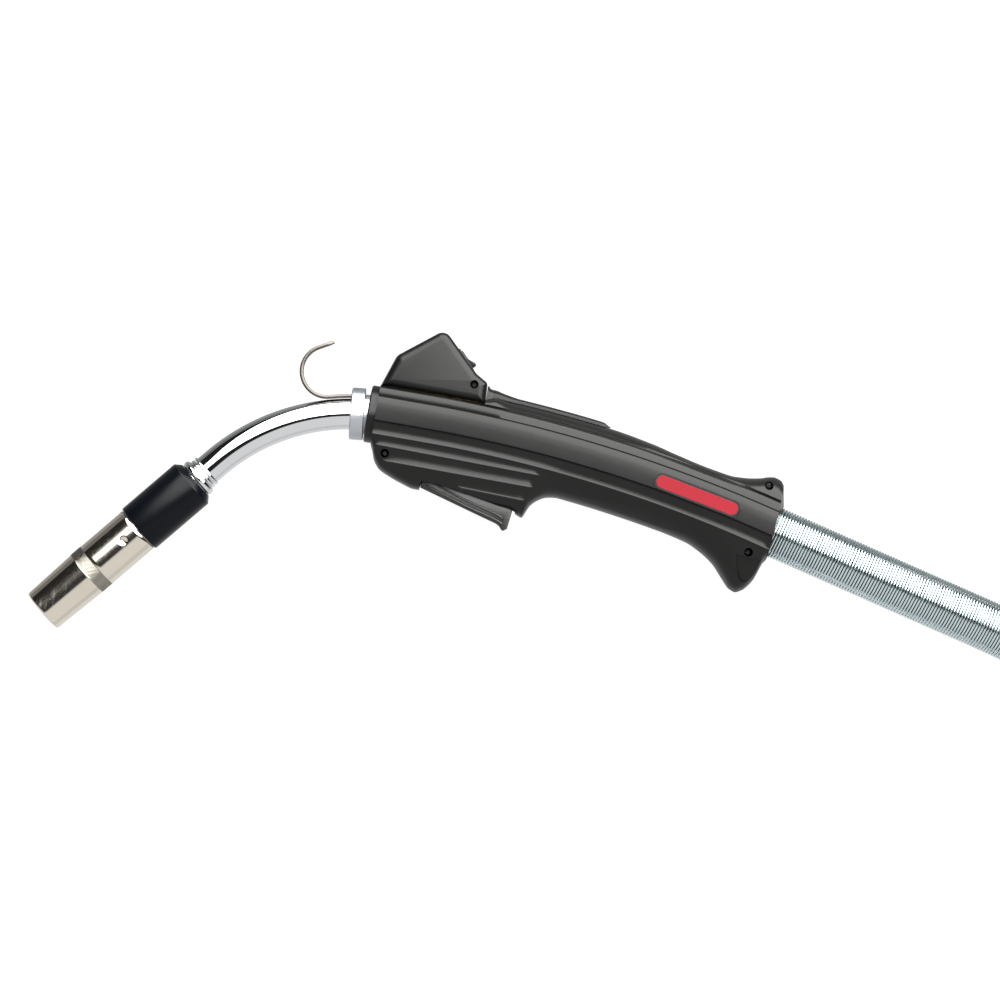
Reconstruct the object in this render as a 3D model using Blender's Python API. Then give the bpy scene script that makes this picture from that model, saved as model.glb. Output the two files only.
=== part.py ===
"""MIG welding torch with its cable, one object per piece.

Metres, +Z up. The torch lies on the flat right side of its handle: X runs along the handle towards the
cable, Y towards the top of the torch (the side with the hook), Z towards its left side. The origin is on the
resting side, straight below the point where the neck starts to bend.
"""

import math

import bmesh
import bpy
from mathutils import Matrix, Vector

GAP = 0.0003  # clearance between pieces that touch

# Handle
HALF_WIDTH = 0.019
WALL = 0.0025
HANDLE_FRONT = -0.0046
BELLY_LENGTH = 0.0832  # front edge to the lip behind the trigger
GRIP_LENGTH = 0.0864  # lip to the start of the rear flare
FLARE_LENGTH = 0.0428
BEND_START = 0.0218  # where the spine line starts to bend
SPINE_RADIUS = 0.738
SPINE_BEND = math.radians(13.9)
REAR_TILT = math.tan(math.radians(3.6))
BAND_TOP = 0.010  # the flat side band, from the spine line
BAND_BOTTOM = -0.003
SEAT_HEIGHT = 0.0180  # flat top under the switch housing
SEAT_REAR = 0.0500
TOP_HEIGHT = 0.0200
STRIP_HEIGHT = 0.0222
WAIST_DEPTH = 0.0224
NOSE_FRONT = -0.0090
NOSE_RADIUS = 0.0149

# Neck, collar and hook
NECK_RADIUS = 0.00795
NECK_BORE = 0.0050
BEND_RADIUS = 0.107
NECK_BEND = math.radians(50.4)
NECK_STRAIGHT = 0.028
NECK_TAIL = 0.024  # straight end inside the handle
LINER_RADIUS = 0.0023
TERMINAL_END = 0.0640
COLLAR_RADIUS = 0.0135
COLLAR_LENGTH = 0.0074
COLLAR_CENTRE = (-0.0141, -0.0008)
COLLAR_TILT = math.radians(5.5)
SPIGOT_RADIUS = 0.0103
SPIGOT_LENGTH = 0.0060
HOOK_WIDTH = 0.008
HOOK_THICKNESS = 0.0016
HOOK_RADIUS = 0.0132
HOOK_TIP = 0.0085
HOOK_FROM = math.radians(7.0)
HOOK_TO = math.radians(15.0)
HOOK_SWEEP = math.radians(166.0)

# Front end, measured forwards from the end of the neck's bend
RING_AT = 0.0096
RING_LENGTH = 0.0035
RING_RADIUS = 0.01045
INSULATOR_AT = 0.0134
INSULATOR_LENGTH = 0.0388
INSULATOR_RADIUS = 0.0135
NOZZLE_RADIUS = 0.0127
NOZZLE_MOUTH_RADIUS = 0.01185
NOZZLE_BORE = 0.0095
NOZZLE_LENGTH = 0.0651  # in front of the insulator
NOZZLE_SPIGOT = 0.0110
NOZZLE_OVERLAP = 0.0120
KNURL_FRONT = 0.0300  # from the mouth
NOZZLE_DIMPLE = 0.0560
DIFFUSER_RADIUS = 0.0085
DIFFUSER_LENGTH = 0.0417
TIP_RADIUS = 0.0040
TIP_RECESS = 0.0030
WIRE_BORE = 0.0006

# Trigger and switches
TRIGGER_FRONT = 0.0244
TRIGGER_REAR = 0.0748
SLOT_WIDTH = 0.0156
TRIGGER_SIDE_GAP = 0.0008
PIVOT = (0.0285, -0.0245)
PIN_RADIUS = 0.0015
PIN_CLEARANCE = 0.0003
EAR_RADIUS = 0.0034
SWITCH_SIZE = (0.0200, 0.0105, 0.0070)
SWITCH_AT = (0.0360, -0.0235)  # its front lower corner
PLUNGER_RADIUS = 0.0013
ROCKER_SIZE = (0.0110, 0.0086)
ROCKER_WALL = 0.0010
ROCKER_AT = (0.0366, 0.0364)
ROCKER_SLOPE = math.radians(-46.9)

# Switch housing on top of the handle
HOUSING_HALF_WIDTH = 0.015
HOUSING_WALL = 0.0022
HOUSING_EDGE = 0.0022

# Screws: places in side view, with a head sunk in the left side
SCREW_HEAD = 0.0020
SCREW_SHANK = 0.0011
SCREW_LENGTH = 0.0160
SCREW_BOSS = 0.0038
HANDLE_SCREWS = ((0.0035, -0.0186), (0.2015, -0.0010), (0.1968, -0.0366))
HOUSING_SCREW = (0.0428, 0.0243)

# Label
LABEL_LENGTH = 0.046
LABEL_HEIGHT = 0.008
LABEL_THICKNESS = 0.0010

# Cable, spring and connector
CABLE_RADIUS = 0.0095
SPRING_RADIUS = 0.01325
SPRING_WIRE = 0.0015
SPRING_INSIDE = 0.0095
SPRING_OUTSIDE = 0.1450
CABLE_INSIDE = 0.0260
CLAMP_RADIUS = 0.0124
COIL_CENTRE = (0.4842, 0.0127)
COIL_OUTER = 0.1225  # radius of the outermost turn's centre line
COIL_INNER = 0.0839
COIL_LAYERS = 2
LAYER_PITCH = 0.0193
TAIL_RADIUS = 0.080
TAIL_START = math.radians(241.1)
TAIL_OUTER = 0.1177
NUT_RADIUS = 0.023
NUT_LENGTH = 0.032
BODY_RADIUS = 0.020
BOOT_LENGTH = 0.060
BODY_LENGTH = 0.050
NIPPLE_RADIUS = 0.0050
NIPPLE_REACH = 0.034
PIN_CONTACT_RADIUS = 0.0017
PIN_CONTACT_OFFSET = 0.0105
PIN_CONTACT_TURN = math.radians(7.0)

LIP_X = HANDLE_FRONT + BELLY_LENGTH
FLARE_X = LIP_X + GRIP_LENGTH
HANDLE_REAR = FLARE_X + FLARE_LENGTH
NECK_END = (-BEND_RADIUS * math.sin(NECK_BEND), -BEND_RADIUS * (1 - math.cos(NECK_BEND)))
FORWARD = (-math.cos(NECK_BEND), -math.sin(NECK_BEND))

# Height of the handle's top line above the spine line: (x, height)
TOP_LINE = (
    (HANDLE_FRONT, SEAT_HEIGHT),
    (SEAT_REAR, SEAT_HEIGHT),
    (SEAT_REAR + 0.006, TOP_HEIGHT),
    (LIP_X + 0.038, TOP_HEIGHT),
    (FLARE_X - 0.025, 0.0191),
    (FLARE_X - 0.013, 0.0181),
    (FLARE_X + 0.003, 0.0174),
    (FLARE_X + 0.015, 0.0177),
    (FLARE_X + 0.023, 0.0194),
    (FLARE_X + 0.031, 0.0224),
    (FLARE_X + 0.035, 0.0246),
    (HANDLE_REAR - 0.0045, 0.0257),
    (HANDLE_REAR - 0.0015, 0.0254),
    (HANDLE_REAR, 0.0240),
)
# Depth of the handle's bottom line below the spine line: (x, depth)
BOTTOM_LINE = (
    (HANDLE_FRONT, 0.0160),
    (HANDLE_FRONT + 0.0029, 0.0232),
    (HANDLE_FRONT + 0.0063, 0.0273),
    (HANDLE_FRONT + 0.0126, 0.0303),
    (HANDLE_FRONT + 0.0200, 0.0329),
    (TRIGGER_FRONT - 0.0034, 0.0343),
    (TRIGGER_FRONT - 0.0006, 0.0343),
    (TRIGGER_FRONT, 0.0294),
    (LIP_X - 0.0076, 0.0347),
    (LIP_X, 0.0371),
    (LIP_X + 0.0012, 0.0348),
    (LIP_X + 0.0031, 0.0303),
    (LIP_X + 0.0072, 0.0259),
    (LIP_X + 0.0115, 0.0235),
    (LIP_X + 0.0174, WAIST_DEPTH),
    (FLARE_X - 0.015, WAIST_DEPTH),
    (FLARE_X - 0.001, 0.0229),
    (FLARE_X + 0.007, 0.0246),
    (FLARE_X + 0.015, 0.0277),
    (FLARE_X + 0.023, 0.0336),
    (FLARE_X + 0.027, 0.0362),
    (FLARE_X + 0.030, 0.0366),
    (FLARE_X + 0.034, 0.0342),
    (FLARE_X + 0.039, 0.0266),
    (HANDLE_REAR - 0.0012, 0.0170),
    (HANDLE_REAR, 0.0152),
)

# Side view of the switch housing, from its front lower corner over the top
HOUSING_OUTLINE = (
    (-0.0044, 0.0184),
    (-0.0038, 0.0200),
    (0.0000, 0.0298),
    (0.0028, 0.0334),
    (0.0196, 0.0471),
    (0.0220, 0.0482),
    (0.0245, 0.0486),
    (0.0268, 0.0474),
    (0.0398, 0.0331),
    (0.0432, 0.0297),
    (0.0477, 0.0269),
    (0.0490, 0.0240),
    (0.0497, 0.0179),
)

# The cable's route from behind the handle to where it reaches the coil
CABLE_ROUTE = (
    (0.2480, -0.0337, HALF_WIDTH - 0.0002),
    (0.2900, -0.0441, 0.0172),
    (0.3300, -0.0540, 0.0152),
    (0.3600, -0.0622, 0.0138),
    (0.3640, -0.0636, 0.0136),
)


# Shared shapes and helpers


def clear_scene():
    for obj in list(bpy.data.objects):
        bpy.data.objects.remove(obj, do_unlink=True)


def material(name, colour, roughness, metallic=0.0):
    made = bpy.data.materials.new(name)
    made.use_nodes = True
    shader = made.node_tree.nodes["Principled BSDF"]
    shader.inputs["Base Color"].default_value = (*colour, 1.0)
    shader.inputs["Roughness"].default_value = roughness
    shader.inputs["Metallic"].default_value = metallic
    made.diffuse_color = (*colour, 1.0)
    return made


def finish_mesh(name, bm, finish, place=None, smooth=True):
    """Makes an object from a bmesh, with its faces out, set at place."""
    bmesh.ops.recalc_face_normals(bm, faces=bm.faces)
    if bm.calc_volume(signed=True) < 0:
        bmesh.ops.reverse_faces(bm, faces=bm.faces)
    mesh = bpy.data.meshes.new(name)
    bm.to_mesh(mesh)
    bm.free()
    if smooth:
        mesh.shade_smooth()
        mesh.set_sharp_from_angle(angle=math.radians(35))
    obj = bpy.data.objects.new(name, mesh)
    bpy.context.scene.collection.objects.link(obj)
    if finish:
        mesh.materials.append(finish)
    if place:
        obj.matrix_world = place
    return obj


def as_cutter(obj):
    obj.hide_render = True
    obj.display_type = "WIRE"
    return obj


def change(target, other, operation="DIFFERENCE"):
    modifier = target.modifiers.new(f"{operation.lower()} {other.name}", "BOOLEAN")
    modifier.operation = operation
    modifier.object = as_cutter(other)
    return target


def loft(name, rings, finish, closed_ends=True, place=None, split=False):
    """Joins rings of equal numbers of points into one closed body, of triangles if split."""
    bm = bmesh.new()
    rows = [[bm.verts.new(point) for point in ring] for ring in rings]
    count = len(rows[0])
    pairs = list(zip(rows, rows[1:], strict=False))
    if not closed_ends:
        pairs.append((rows[-1], rows[0]))
    for near, far in pairs:
        for k in range(count):
            after = (k + 1) % count
            bm.faces.new((near[k], near[after], far[after], far[k]))
    if closed_ends:
        bm.faces.new(rows[0])
        bm.faces.new(rows[-1])
    if split:
        bmesh.ops.triangulate(bm, faces=bm.faces)
    return finish_mesh(name, bm, finish, place)


def circle(radius, along, sides):
    return [
        Vector((radius * math.cos(t), radius * math.sin(t), along))
        for t in (math.tau * k / sides for k in range(sides))
    ]


def along(origin, direction):
    """A placement whose local +Z runs along direction from origin."""
    matrix = Vector(direction).to_track_quat("Z", "Y").to_matrix().to_4x4()
    matrix.translation = Vector(origin)
    return matrix


def turned(name, profile, finish, place, sides=20):
    """A solid turned about local Z from a closed profile of (radius, along) that stays off the axis."""
    rings = [circle(radius, height, sides) for radius, height in profile]
    return loft(name, rings, finish, closed_ends=False, place=place)


def rod(name, profile, finish, place, sides=24):
    """A solid turned piece, from (radius, along) pairs in order, closed by flat ends."""
    rings = [circle(radius, height, sides) for radius, height in profile]
    return loft(name, rings, finish, place=place)


def prism(name, outline, low, high, finish, edge=0.0, place=None):
    """An outline in the XY plane, drawn out from low to high, with its high rim bevelled by edge."""
    bm = bmesh.new()
    base = bm.faces.new([bm.verts.new((x, y, low)) for x, y in outline])
    made = bmesh.ops.extrude_face_region(bm, geom=[base])["geom"]
    raised = [item for item in made if isinstance(item, bmesh.types.BMVert)]
    bmesh.ops.translate(bm, verts=raised, vec=(0, 0, high - low))
    if edge:
        rim = [e for e in bm.edges if all(abs(v.co.z - high) < 1e-7 for v in e.verts)]
        bmesh.ops.bevel(bm, geom=rim, offset=edge, segments=2, affect="EDGES", profile=0.5)
    return finish_mesh(name, bm, finish, place)


def block(name, low, high, finish=None, place=None):
    outline = ((low[0], low[1]), (high[0], low[1]), (high[0], high[1]), (low[0], high[1]))
    return prism(name, outline, low[2], high[2], finish, place=place)


def bore(name, radius, start, end, sides=24):
    """A round cutter between two points."""
    reach = Vector(end) - Vector(start)
    return rod(name, ((radius, 0.0), (radius, reach.length)), None, along(start, reach), sides)


def empty(name, place):
    pivot = bpy.data.objects.new(name, None)
    pivot.location = place
    bpy.context.scene.collection.objects.link(pivot)
    return pivot


def hang_on(pivot, *pieces):
    bpy.context.view_layer.update()
    for piece in pieces:
        piece.parent = pivot
        piece.matrix_parent_inverse = pivot.matrix_world.inverted()


def between(value, table):
    """Reads a line given by (x, value) points."""
    for (x0, v0), (x1, v1) in zip(table, table[1:], strict=False):
        if value <= x1:
            return v0 + (v1 - v0) * max(0.0, (value - x0) / (x1 - x0))
    return table[-1][1]


def smooth_curve(points, step):
    """Points about step apart on a Catmull-Rom curve through points."""
    line = [Vector(p) for p in points]
    line = [2 * line[0] - line[1], *line, 2 * line[-1] - line[-2]]
    found = []
    for k in range(1, len(line) - 2):
        p0, p1, p2, p3 = line[k - 1 : k + 3]
        count = max(1, round((p2 - p1).length / step))
        for j in range(count):
            t = j / count
            found.append(
                0.5
                * (
                    2 * p1
                    + (p2 - p0) * t
                    + (2 * p0 - 5 * p1 + 4 * p2 - p3) * t**2
                    + (3 * p1 - p0 - 3 * p2 + p3) * t**3
                )
            )
    return [*found, line[-2]]


def sweep_rings(points, radius, sides):
    """Circles square to a route that never runs along Z."""
    rings = []
    for k, point in enumerate(points):
        ahead = (points[min(k + 1, len(points) - 1)] - points[max(k - 1, 0)]).normalized()
        side = ahead.cross(Vector((0, 0, 1))).normalized()
        up = side.cross(ahead)
        rings.append(
            [
                point + radius * (math.cos(t) * side + math.sin(t) * up)
                for t in (math.tau * j / sides for j in range(sides))
            ]
        )
    return rings


def pipe(name, points, outer, inner, finish, sides=20):
    """A hollow tube along a route, with flat ends."""
    rings = sweep_rings(points, outer, sides) + sweep_rings(points, inner, sides)[::-1]
    return loft(name, rings, finish, closed_ends=False)


def cord(name, points, radius, finish):
    """A plain solid cord along a route."""
    curve = bpy.data.curves.new(name, "CURVE")
    curve.dimensions = "3D"
    curve.bevel_depth = radius
    curve.bevel_resolution = 3
    curve.use_fill_caps = True
    spline = curve.splines.new("POLY")
    spline.points.add(len(points) - 1)
    for spot, point in zip(spline.points, points, strict=True):
        spot.co = (*point, 1.0)
    curve.materials.append(finish)
    obj = bpy.data.objects.new(name, curve)
    bpy.context.scene.collection.objects.link(obj)
    return obj


# Reference lines


def spine(x):
    """Height and slope angle of the handle's spine line at x."""
    if x <= BEND_START:
        return 0.0, 0.0
    reach = min(x - BEND_START, SPINE_RADIUS * math.sin(SPINE_BEND))
    angle = math.asin(reach / SPINE_RADIUS)
    beyond = x - BEND_START - reach
    return -SPINE_RADIUS * (1 - math.cos(angle)) - beyond * math.tan(angle), angle


def neck_point(angle, offset=0.0):
    """A point of the neck's bend, offset away from the bend's centre."""
    reach = BEND_RADIUS + offset
    return Vector((-reach * math.sin(angle), reach * math.cos(angle) - BEND_RADIUS, HALF_WIDTH))


def front_point(distance):
    """A point of the straight front end, forwards of the neck's bend."""
    return Vector((NECK_END[0] + distance * FORWARD[0], NECK_END[1] + distance * FORWARD[1], HALF_WIDTH))


def front_place():
    return along(front_point(0.0), (*FORWARD, 0.0))


REAR_AXIS = Vector((math.cos(SPINE_BEND), -math.sin(SPINE_BEND), 0.0))
EXIT_X = HANDLE_REAR + 0.0015
REAR_EXIT = Vector((EXIT_X, spine(EXIT_X)[0], HALF_WIDTH))
CABLE_LINE = smooth_curve((REAR_EXIT - CABLE_INSIDE * REAR_AXIS, REAR_EXIT, *CABLE_ROUTE), 0.020)


# Handle


def squareness(x, high):
    """How square the handle's corners are: 2 is an ellipse, more is squarer."""
    if high:
        return between(x, ((SEAT_REAR, 6.0), (SEAT_REAR + 0.012, 2.5)))
    return between(x, ((LIP_X, 4.0), (LIP_X + 0.016, 2.4)))


def half_section(x, side, inset, parting, steps=(4, 5)):
    """Half of the handle's section at x, from its top to its bottom, as points."""
    axis, slope = spine(x)
    lean = REAR_TILT * max(0.0, (x - FLARE_X) / FLARE_LENGTH)
    top = between(x, TOP_LINE) - inset
    depth = between(x, BOTTOM_LINE) - inset
    width = HALF_WIDTH - inset
    points = []
    for count, edge, reach, high in (
        (steps[0], BAND_TOP, top, True),
        (steps[1], BAND_BOTTOM, -depth, False),
    ):
        power = 2.0 / squareness(x, high)
        quarter = []
        for k in range(count + 1):
            angle = math.pi / 2 * (1 - k / count)
            across = width * max(0.0, math.cos(angle)) ** power
            height = edge + (reach - edge) * max(0.0, math.sin(angle)) ** power
            quarter.append((height, across))
        points += quarter if high else quarter[::-1]
    ring = []
    for height, across in points:
        y = axis + height / math.cos(slope)
        z = HALF_WIDTH + side * max(across, parting)
        ring.append(Vector((x + lean * (y - axis), y, z)))
    return ring


def stations(low, high, apart):
    """Where the handle's sections stand: at the points of its outlines that are far enough apart."""
    lines = [x for x, _ in TOP_LINE] + [x for x, _ in BOTTOM_LINE]
    lines += [LIP_X - 0.030, LIP_X + 0.028, LIP_X + 0.048]
    kept = [low]
    for x in sorted(lines):
        if x - kept[-1] > apart and high - x > apart:
            kept.append(x)
    return [*kept, high]


def handle_half(name, side, finish):
    """One moulded shell: outer skin, cavity with screw bosses, and the openings."""
    word = name.split("_")[1]
    skin = [half_section(x, side, 0.0, GAP / 2) for x in stations(HANDLE_FRONT, HANDLE_REAR, 0.0005)]
    shell = loft(name, skin, finish, split=True)
    front, rear = HANDLE_FRONT + WALL, HANDLE_REAR - WALL
    hollow = [half_section(x, side, WALL, -0.001, (3, 3)) for x in stations(front, rear, 0.0035)]
    cavity = loft(f"cavity_{word}", hollow, None, split=True)
    middle = HALF_WIDTH - side * 0.0005
    far = HALF_WIDTH + side * (HALF_WIDTH + 0.002)
    for k, (x, y) in enumerate(HANDLE_SCREWS):
        change(cavity, bore(f"boss_{word}_{k}", SCREW_BOSS, (x, y, middle), (x, y, far), 16))
    nose = bore(
        f"nose_{word}",
        NOSE_RADIUS,
        (NOSE_FRONT, 0.0003, HALF_WIDTH),
        (HANDLE_FRONT + 0.001, 0.0003, HALF_WIDTH),
        40,
    )
    keep_low, keep_high = sorted((HALF_WIDTH + side * GAP / 2, HALF_WIDTH + side * 0.03))
    change(nose, block(f"keep_{word}", (-0.03, -0.03, keep_low), (0.01, 0.03, keep_high)), "INTERSECT")
    change(shell, nose, "UNION")
    change(shell, cavity)
    change(shell, bore(f"front_bore_{word}", SPIGOT_RADIUS + 0.0008, (-0.02, 0, HALF_WIDTH), (0.003, 0, HALF_WIDTH), 32))
    rear_bore = bore(
        f"rear_bore_{word}",
        SPRING_RADIUS + 0.0005,
        REAR_EXIT - 0.012 * REAR_AXIS,
        REAR_EXIT + 0.012 * REAR_AXIS,
        32,
    )
    change(shell, rear_bore)
    clamp_room = bore(
        f"clamp_room_{word}",
        CLAMP_RADIUS + 0.0005,
        REAR_EXIT - (CABLE_INSIDE + 0.001) * REAR_AXIS,
        REAR_EXIT - (SPRING_INSIDE - 0.001) * REAR_AXIS,
    )
    change(shell, clamp_room)
    half = SLOT_WIDTH / 2
    slot = block(
        f"trigger_slot_{word}",
        (TRIGGER_FRONT, -0.060, HALF_WIDTH - half),
        (TRIGGER_REAR, -0.021, HALF_WIDTH + half),
    )
    change(shell, slot)
    wire_way = block(
        f"wire_way_{word}",
        (0.022, 0.010, HALF_WIDTH - 0.0035),
        (0.032, 0.025, HALF_WIDTH + 0.0035),
    )
    change(shell, wire_way)
    for k, (x, y) in enumerate(HANDLE_SCREWS):
        screw_holes(shell, side, x, y, f"{word}_{k}", far)
    return shell


def screw_holes(shell, side, x, y, tag, far):
    """A sunk head and a clear hole on the left, a blind pilot hole on the right."""
    middle = HALF_WIDTH - side * 0.001
    if side > 0:
        seat = HALF_WIDTH + head_seat(y > 0.01)
        change(shell, bore(f"sink_{tag}", SCREW_HEAD + 0.00025, (x, y, seat), (x, y, far), 16))
        change(shell, bore(f"clear_{tag}", SCREW_SHANK + 0.0004, (x, y, middle), (x, y, seat + 0.001), 12))
    else:
        end = HALF_WIDTH + head_seat(y > 0.01) - SCREW_LENGTH - 0.0006
        change(shell, bore(f"pilot_{tag}", SCREW_SHANK + 0.0003, (x, y, middle), (x, y, end), 12))


def head_seat(housing):
    """How far left of the middle a screw's head sits."""
    return 0.0070 if housing else 0.0080


def screw(name, x, y, finish):
    seat = HALF_WIDTH + head_seat(y > 0.01) + GAP
    profile = (
        (SCREW_SHANK, -SCREW_LENGTH),
        (SCREW_SHANK, 0.0),
        (SCREW_HEAD, 0.0),
        (SCREW_HEAD, 0.0014),
        (SCREW_HEAD * 0.6, 0.0019),
    )
    return rod(name, profile, finish, Matrix.Translation((x, y, seat)), 12)


def housing_half(name, side, finish):
    """One half of the switch housing, hollow apart from a boss round its screw."""
    word = name.rsplit("_", 1)[1]
    near = GAP / 2
    body = prism(name, HOUSING_OUTLINE, near, HOUSING_HALF_WIDTH, finish, edge=HOUSING_EDGE)
    body.matrix_world = Matrix.Translation((0, 0, HALF_WIDTH)) @ Matrix.Scale(side, 4, (0, 0, 1))
    centre = sum((Vector((*p, 0)) for p in HOUSING_OUTLINE), Vector()) / len(HOUSING_OUTLINE)
    inner = (
        (-0.0012, 0.0150),
        (-0.0012, 0.0210),
        (0.0022, 0.0290),
        (0.0040, 0.0316),
        (0.0230, 0.0458),
        (0.0250, 0.0456),
        (0.0376, 0.0320),
        (0.0376, 0.0150),
    )
    room = prism(f"room_{word}", inner, -0.001, HOUSING_HALF_WIDTH - HOUSING_WALL, None)
    room.matrix_world = body.matrix_world
    change(body, room)
    change(body, rocker_box(f"rocker_way_{word}", 0.0003 + ROCKER_WALL, 0.0105, 0.010))
    x, y = HOUSING_SCREW
    far = HALF_WIDTH + side * (HOUSING_HALF_WIDTH + 0.003)
    screw_holes(body, side, x, y, f"housing_{word}", far)
    return body


def rocker_place():
    """Local X runs down the housing's rear slope, local Y out of it."""
    return Matrix.Translation((*ROCKER_AT, HALF_WIDTH)) @ Matrix.Rotation(ROCKER_SLOPE, 4, "Z")


def rocker_box(name, margin, depth, out):
    length, width = ROCKER_SIZE[0] / 2 + 0.0003 + margin, ROCKER_SIZE[1] / 2 + 0.0003 + margin
    return block(name, (-length, -depth, -width), (length, out, width), place=rocker_place())


# Pieces


def build_front_end(mat):
    place = front_place()
    turned(
        "neck_end_ring",
        (
            (NECK_RADIUS + GAP, RING_AT),
            (RING_RADIUS, RING_AT),
            (RING_RADIUS, RING_AT + RING_LENGTH),
            (NECK_RADIUS + GAP, RING_AT + RING_LENGTH),
        ),
        mat["chrome"],
        place,
    )
    rear, front = INSULATOR_AT, INSULATOR_AT + INSULATOR_LENGTH
    pocket = front - NOZZLE_OVERLAP - GAP
    turned(
        "nozzle_insulator",
        (
            (NECK_RADIUS + 0.0004, rear),
            (INSULATOR_RADIUS - 0.0030, rear),
            (INSULATOR_RADIUS, rear + 0.0030),
            (INSULATOR_RADIUS, front - 0.0008),
            (INSULATOR_RADIUS - 0.0008, front),
            (NOZZLE_SPIGOT + GAP, front),
            (NOZZLE_SPIGOT + GAP, pocket),
            (DIFFUSER_RADIUS + 0.0005, pocket),
            (DIFFUSER_RADIUS + 0.0005, NECK_STRAIGHT + GAP / 2),
            (NECK_RADIUS + 0.0004, NECK_STRAIGHT + GAP / 2),
        ),
        mat["phenolic"],
        place,
        24,
    )
    mouth = front + NOZZLE_LENGTH + GAP
    nozzle = turned(
        "gas_nozzle",
        (
            (NOZZLE_BORE, pocket + GAP),
            (NOZZLE_SPIGOT, pocket + GAP),
            (NOZZLE_SPIGOT, front + GAP),
            (NOZZLE_RADIUS, front + GAP),
            (NOZZLE_RADIUS, mouth - KNURL_FRONT),
            (NOZZLE_MOUTH_RADIUS, mouth - 0.0005),
            (NOZZLE_MOUTH_RADIUS - 0.0005, mouth),
            (NOZZLE_BORE, mouth),
        ),
        mat["nickel"],
        place,
        24,
    )
    dimple = front_point(mouth - NOZZLE_DIMPLE)
    over, floor = Vector((0, 0, 0.02)), Vector((0, 0, NOZZLE_RADIUS - 0.0012))
    change(nozzle, bore("dimple", 0.002, dimple + floor, dimple + over, 12))
    start = NECK_STRAIGHT + GAP
    diffuser = turned(
        "gas_diffuser",
        (
            (0.0030, start),
            (DIFFUSER_RADIUS, start),
            (DIFFUSER_RADIUS, start + 0.010),
            (DIFFUSER_RADIUS - 0.0006, start + 0.010),
            (DIFFUSER_RADIUS - 0.0006, start + 0.034),
            (0.0055, start + DIFFUSER_LENGTH),
            (0.0030, start + DIFFUSER_LENGTH),
        ),
        mat["brass"],
        place,
        20,
    )
    holes = front_point(start + 0.024)
    for k in range(3):
        turn = math.pi * k / 3
        side = Vector((FORWARD[1], -FORWARD[0], 0)) * math.cos(turn) + Vector((0, 0, 1)) * math.sin(turn)
        change(diffuser, bore(f"gas_hole_{k}", 0.0011, holes - 0.02 * side, holes + 0.02 * side, 8))
    turned(
        "nozzle_retaining_ring",
        (
            (DIFFUSER_RADIUS - 0.0003, start + 0.015),
            (DIFFUSER_RADIUS + 0.0006, start + 0.015),
            (DIFFUSER_RADIUS + 0.0006, start + 0.017),
            (DIFFUSER_RADIUS - 0.0003, start + 0.017),
        ),
        mat["zinc"],
        place,
        20,
    )
    shoulder = start + DIFFUSER_LENGTH + GAP
    turned(
        "contact_tip",
        (
            (WIRE_BORE, shoulder - 0.0080),
            (0.0027, shoulder - 0.0080),
            (0.0027, shoulder),
            (TIP_RADIUS, shoulder),
            (TIP_RADIUS, mouth - TIP_RECESS - 0.006),
            (TIP_RADIUS * 0.7, mouth - TIP_RECESS),
            (WIRE_BORE, mouth - TIP_RECESS),
        ),
        mat["copper"],
        place,
        16,
    )
    hang_on(empty("nozzle_slide", front_point(mouth)), nozzle)


def neck_line(to):
    bend = [neck_point(NECK_BEND * k / 12) for k in range(13)]
    return [Vector((NECK_TAIL, 0, HALF_WIDTH)), *bend, front_point(to)]


def build_neck(mat):
    pipe("neck_tube", neck_line(NECK_STRAIGHT), NECK_RADIUS, NECK_BORE, mat["chrome"], 18)
    pipe("neck_liner", neck_line(NECK_STRAIGHT - 0.001), LINER_RADIUS, 0.0012, mat["zinc"], 6)
    centre = Vector((*COLLAR_CENTRE, HALF_WIDTH))
    axis = Vector((math.cos(COLLAR_TILT), math.sin(COLLAR_TILT), 0))
    half = COLLAR_LENGTH / 2
    place = along(centre, axis)
    clear = NECK_RADIUS + 0.0008
    collar = turned(
        "neck_collar",
        (
            (clear, -half),
            (COLLAR_RADIUS - 0.0006, -half),
            (COLLAR_RADIUS, -half + 0.0006),
            (COLLAR_RADIUS, half - 0.0003),
            (SPIGOT_RADIUS, half - 0.0003),
            (SPIGOT_RADIUS, half + SPIGOT_LENGTH),
            (clear, half + SPIGOT_LENGTH),
        ),
        mat["aluminium"],
        place,
        32,
    )
    tilt = Matrix.Translation(centre) @ Matrix.Rotation(COLLAR_TILT, 4, "Z")
    strip = HOOK_WIDTH / 2 + 0.0004
    reach = NECK_RADIUS + HOOK_THICKNESS + 0.0010
    change(collar, block("hook_slot", (-0.006, 0.0, -strip), (0.0022, reach, strip), place=tilt))
    build_hook(mat)
    turned(
        "neck_block",
        (
            (NECK_RADIUS + GAP, 0.0100),
            (0.0110, 0.0100),
            (0.0115, 0.0105),
            (0.0115, 0.0460),
            (0.0078, 0.0460),
            (0.0078, 0.0340),
            (0.0030, 0.0340),
            (0.0030, NECK_TAIL + GAP),
            (NECK_RADIUS + GAP, NECK_TAIL + GAP),
        ),
        mat["brass"],
        along((0, 0, HALF_WIDTH), (1, 0, 0)),
    )
    turned(
        "cable_terminal",
        (
            (0.0030, 0.0343),
            (0.0075, 0.0343),
            (0.0075, 0.0500),
            (0.0068, 0.0520),
            (0.0068, TERMINAL_END),
            (0.0030, TERMINAL_END),
        ),
        mat["copper"],
        along((0, 0, HALF_WIDTH), (1, 0, 0)),
        20,
    )


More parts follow.
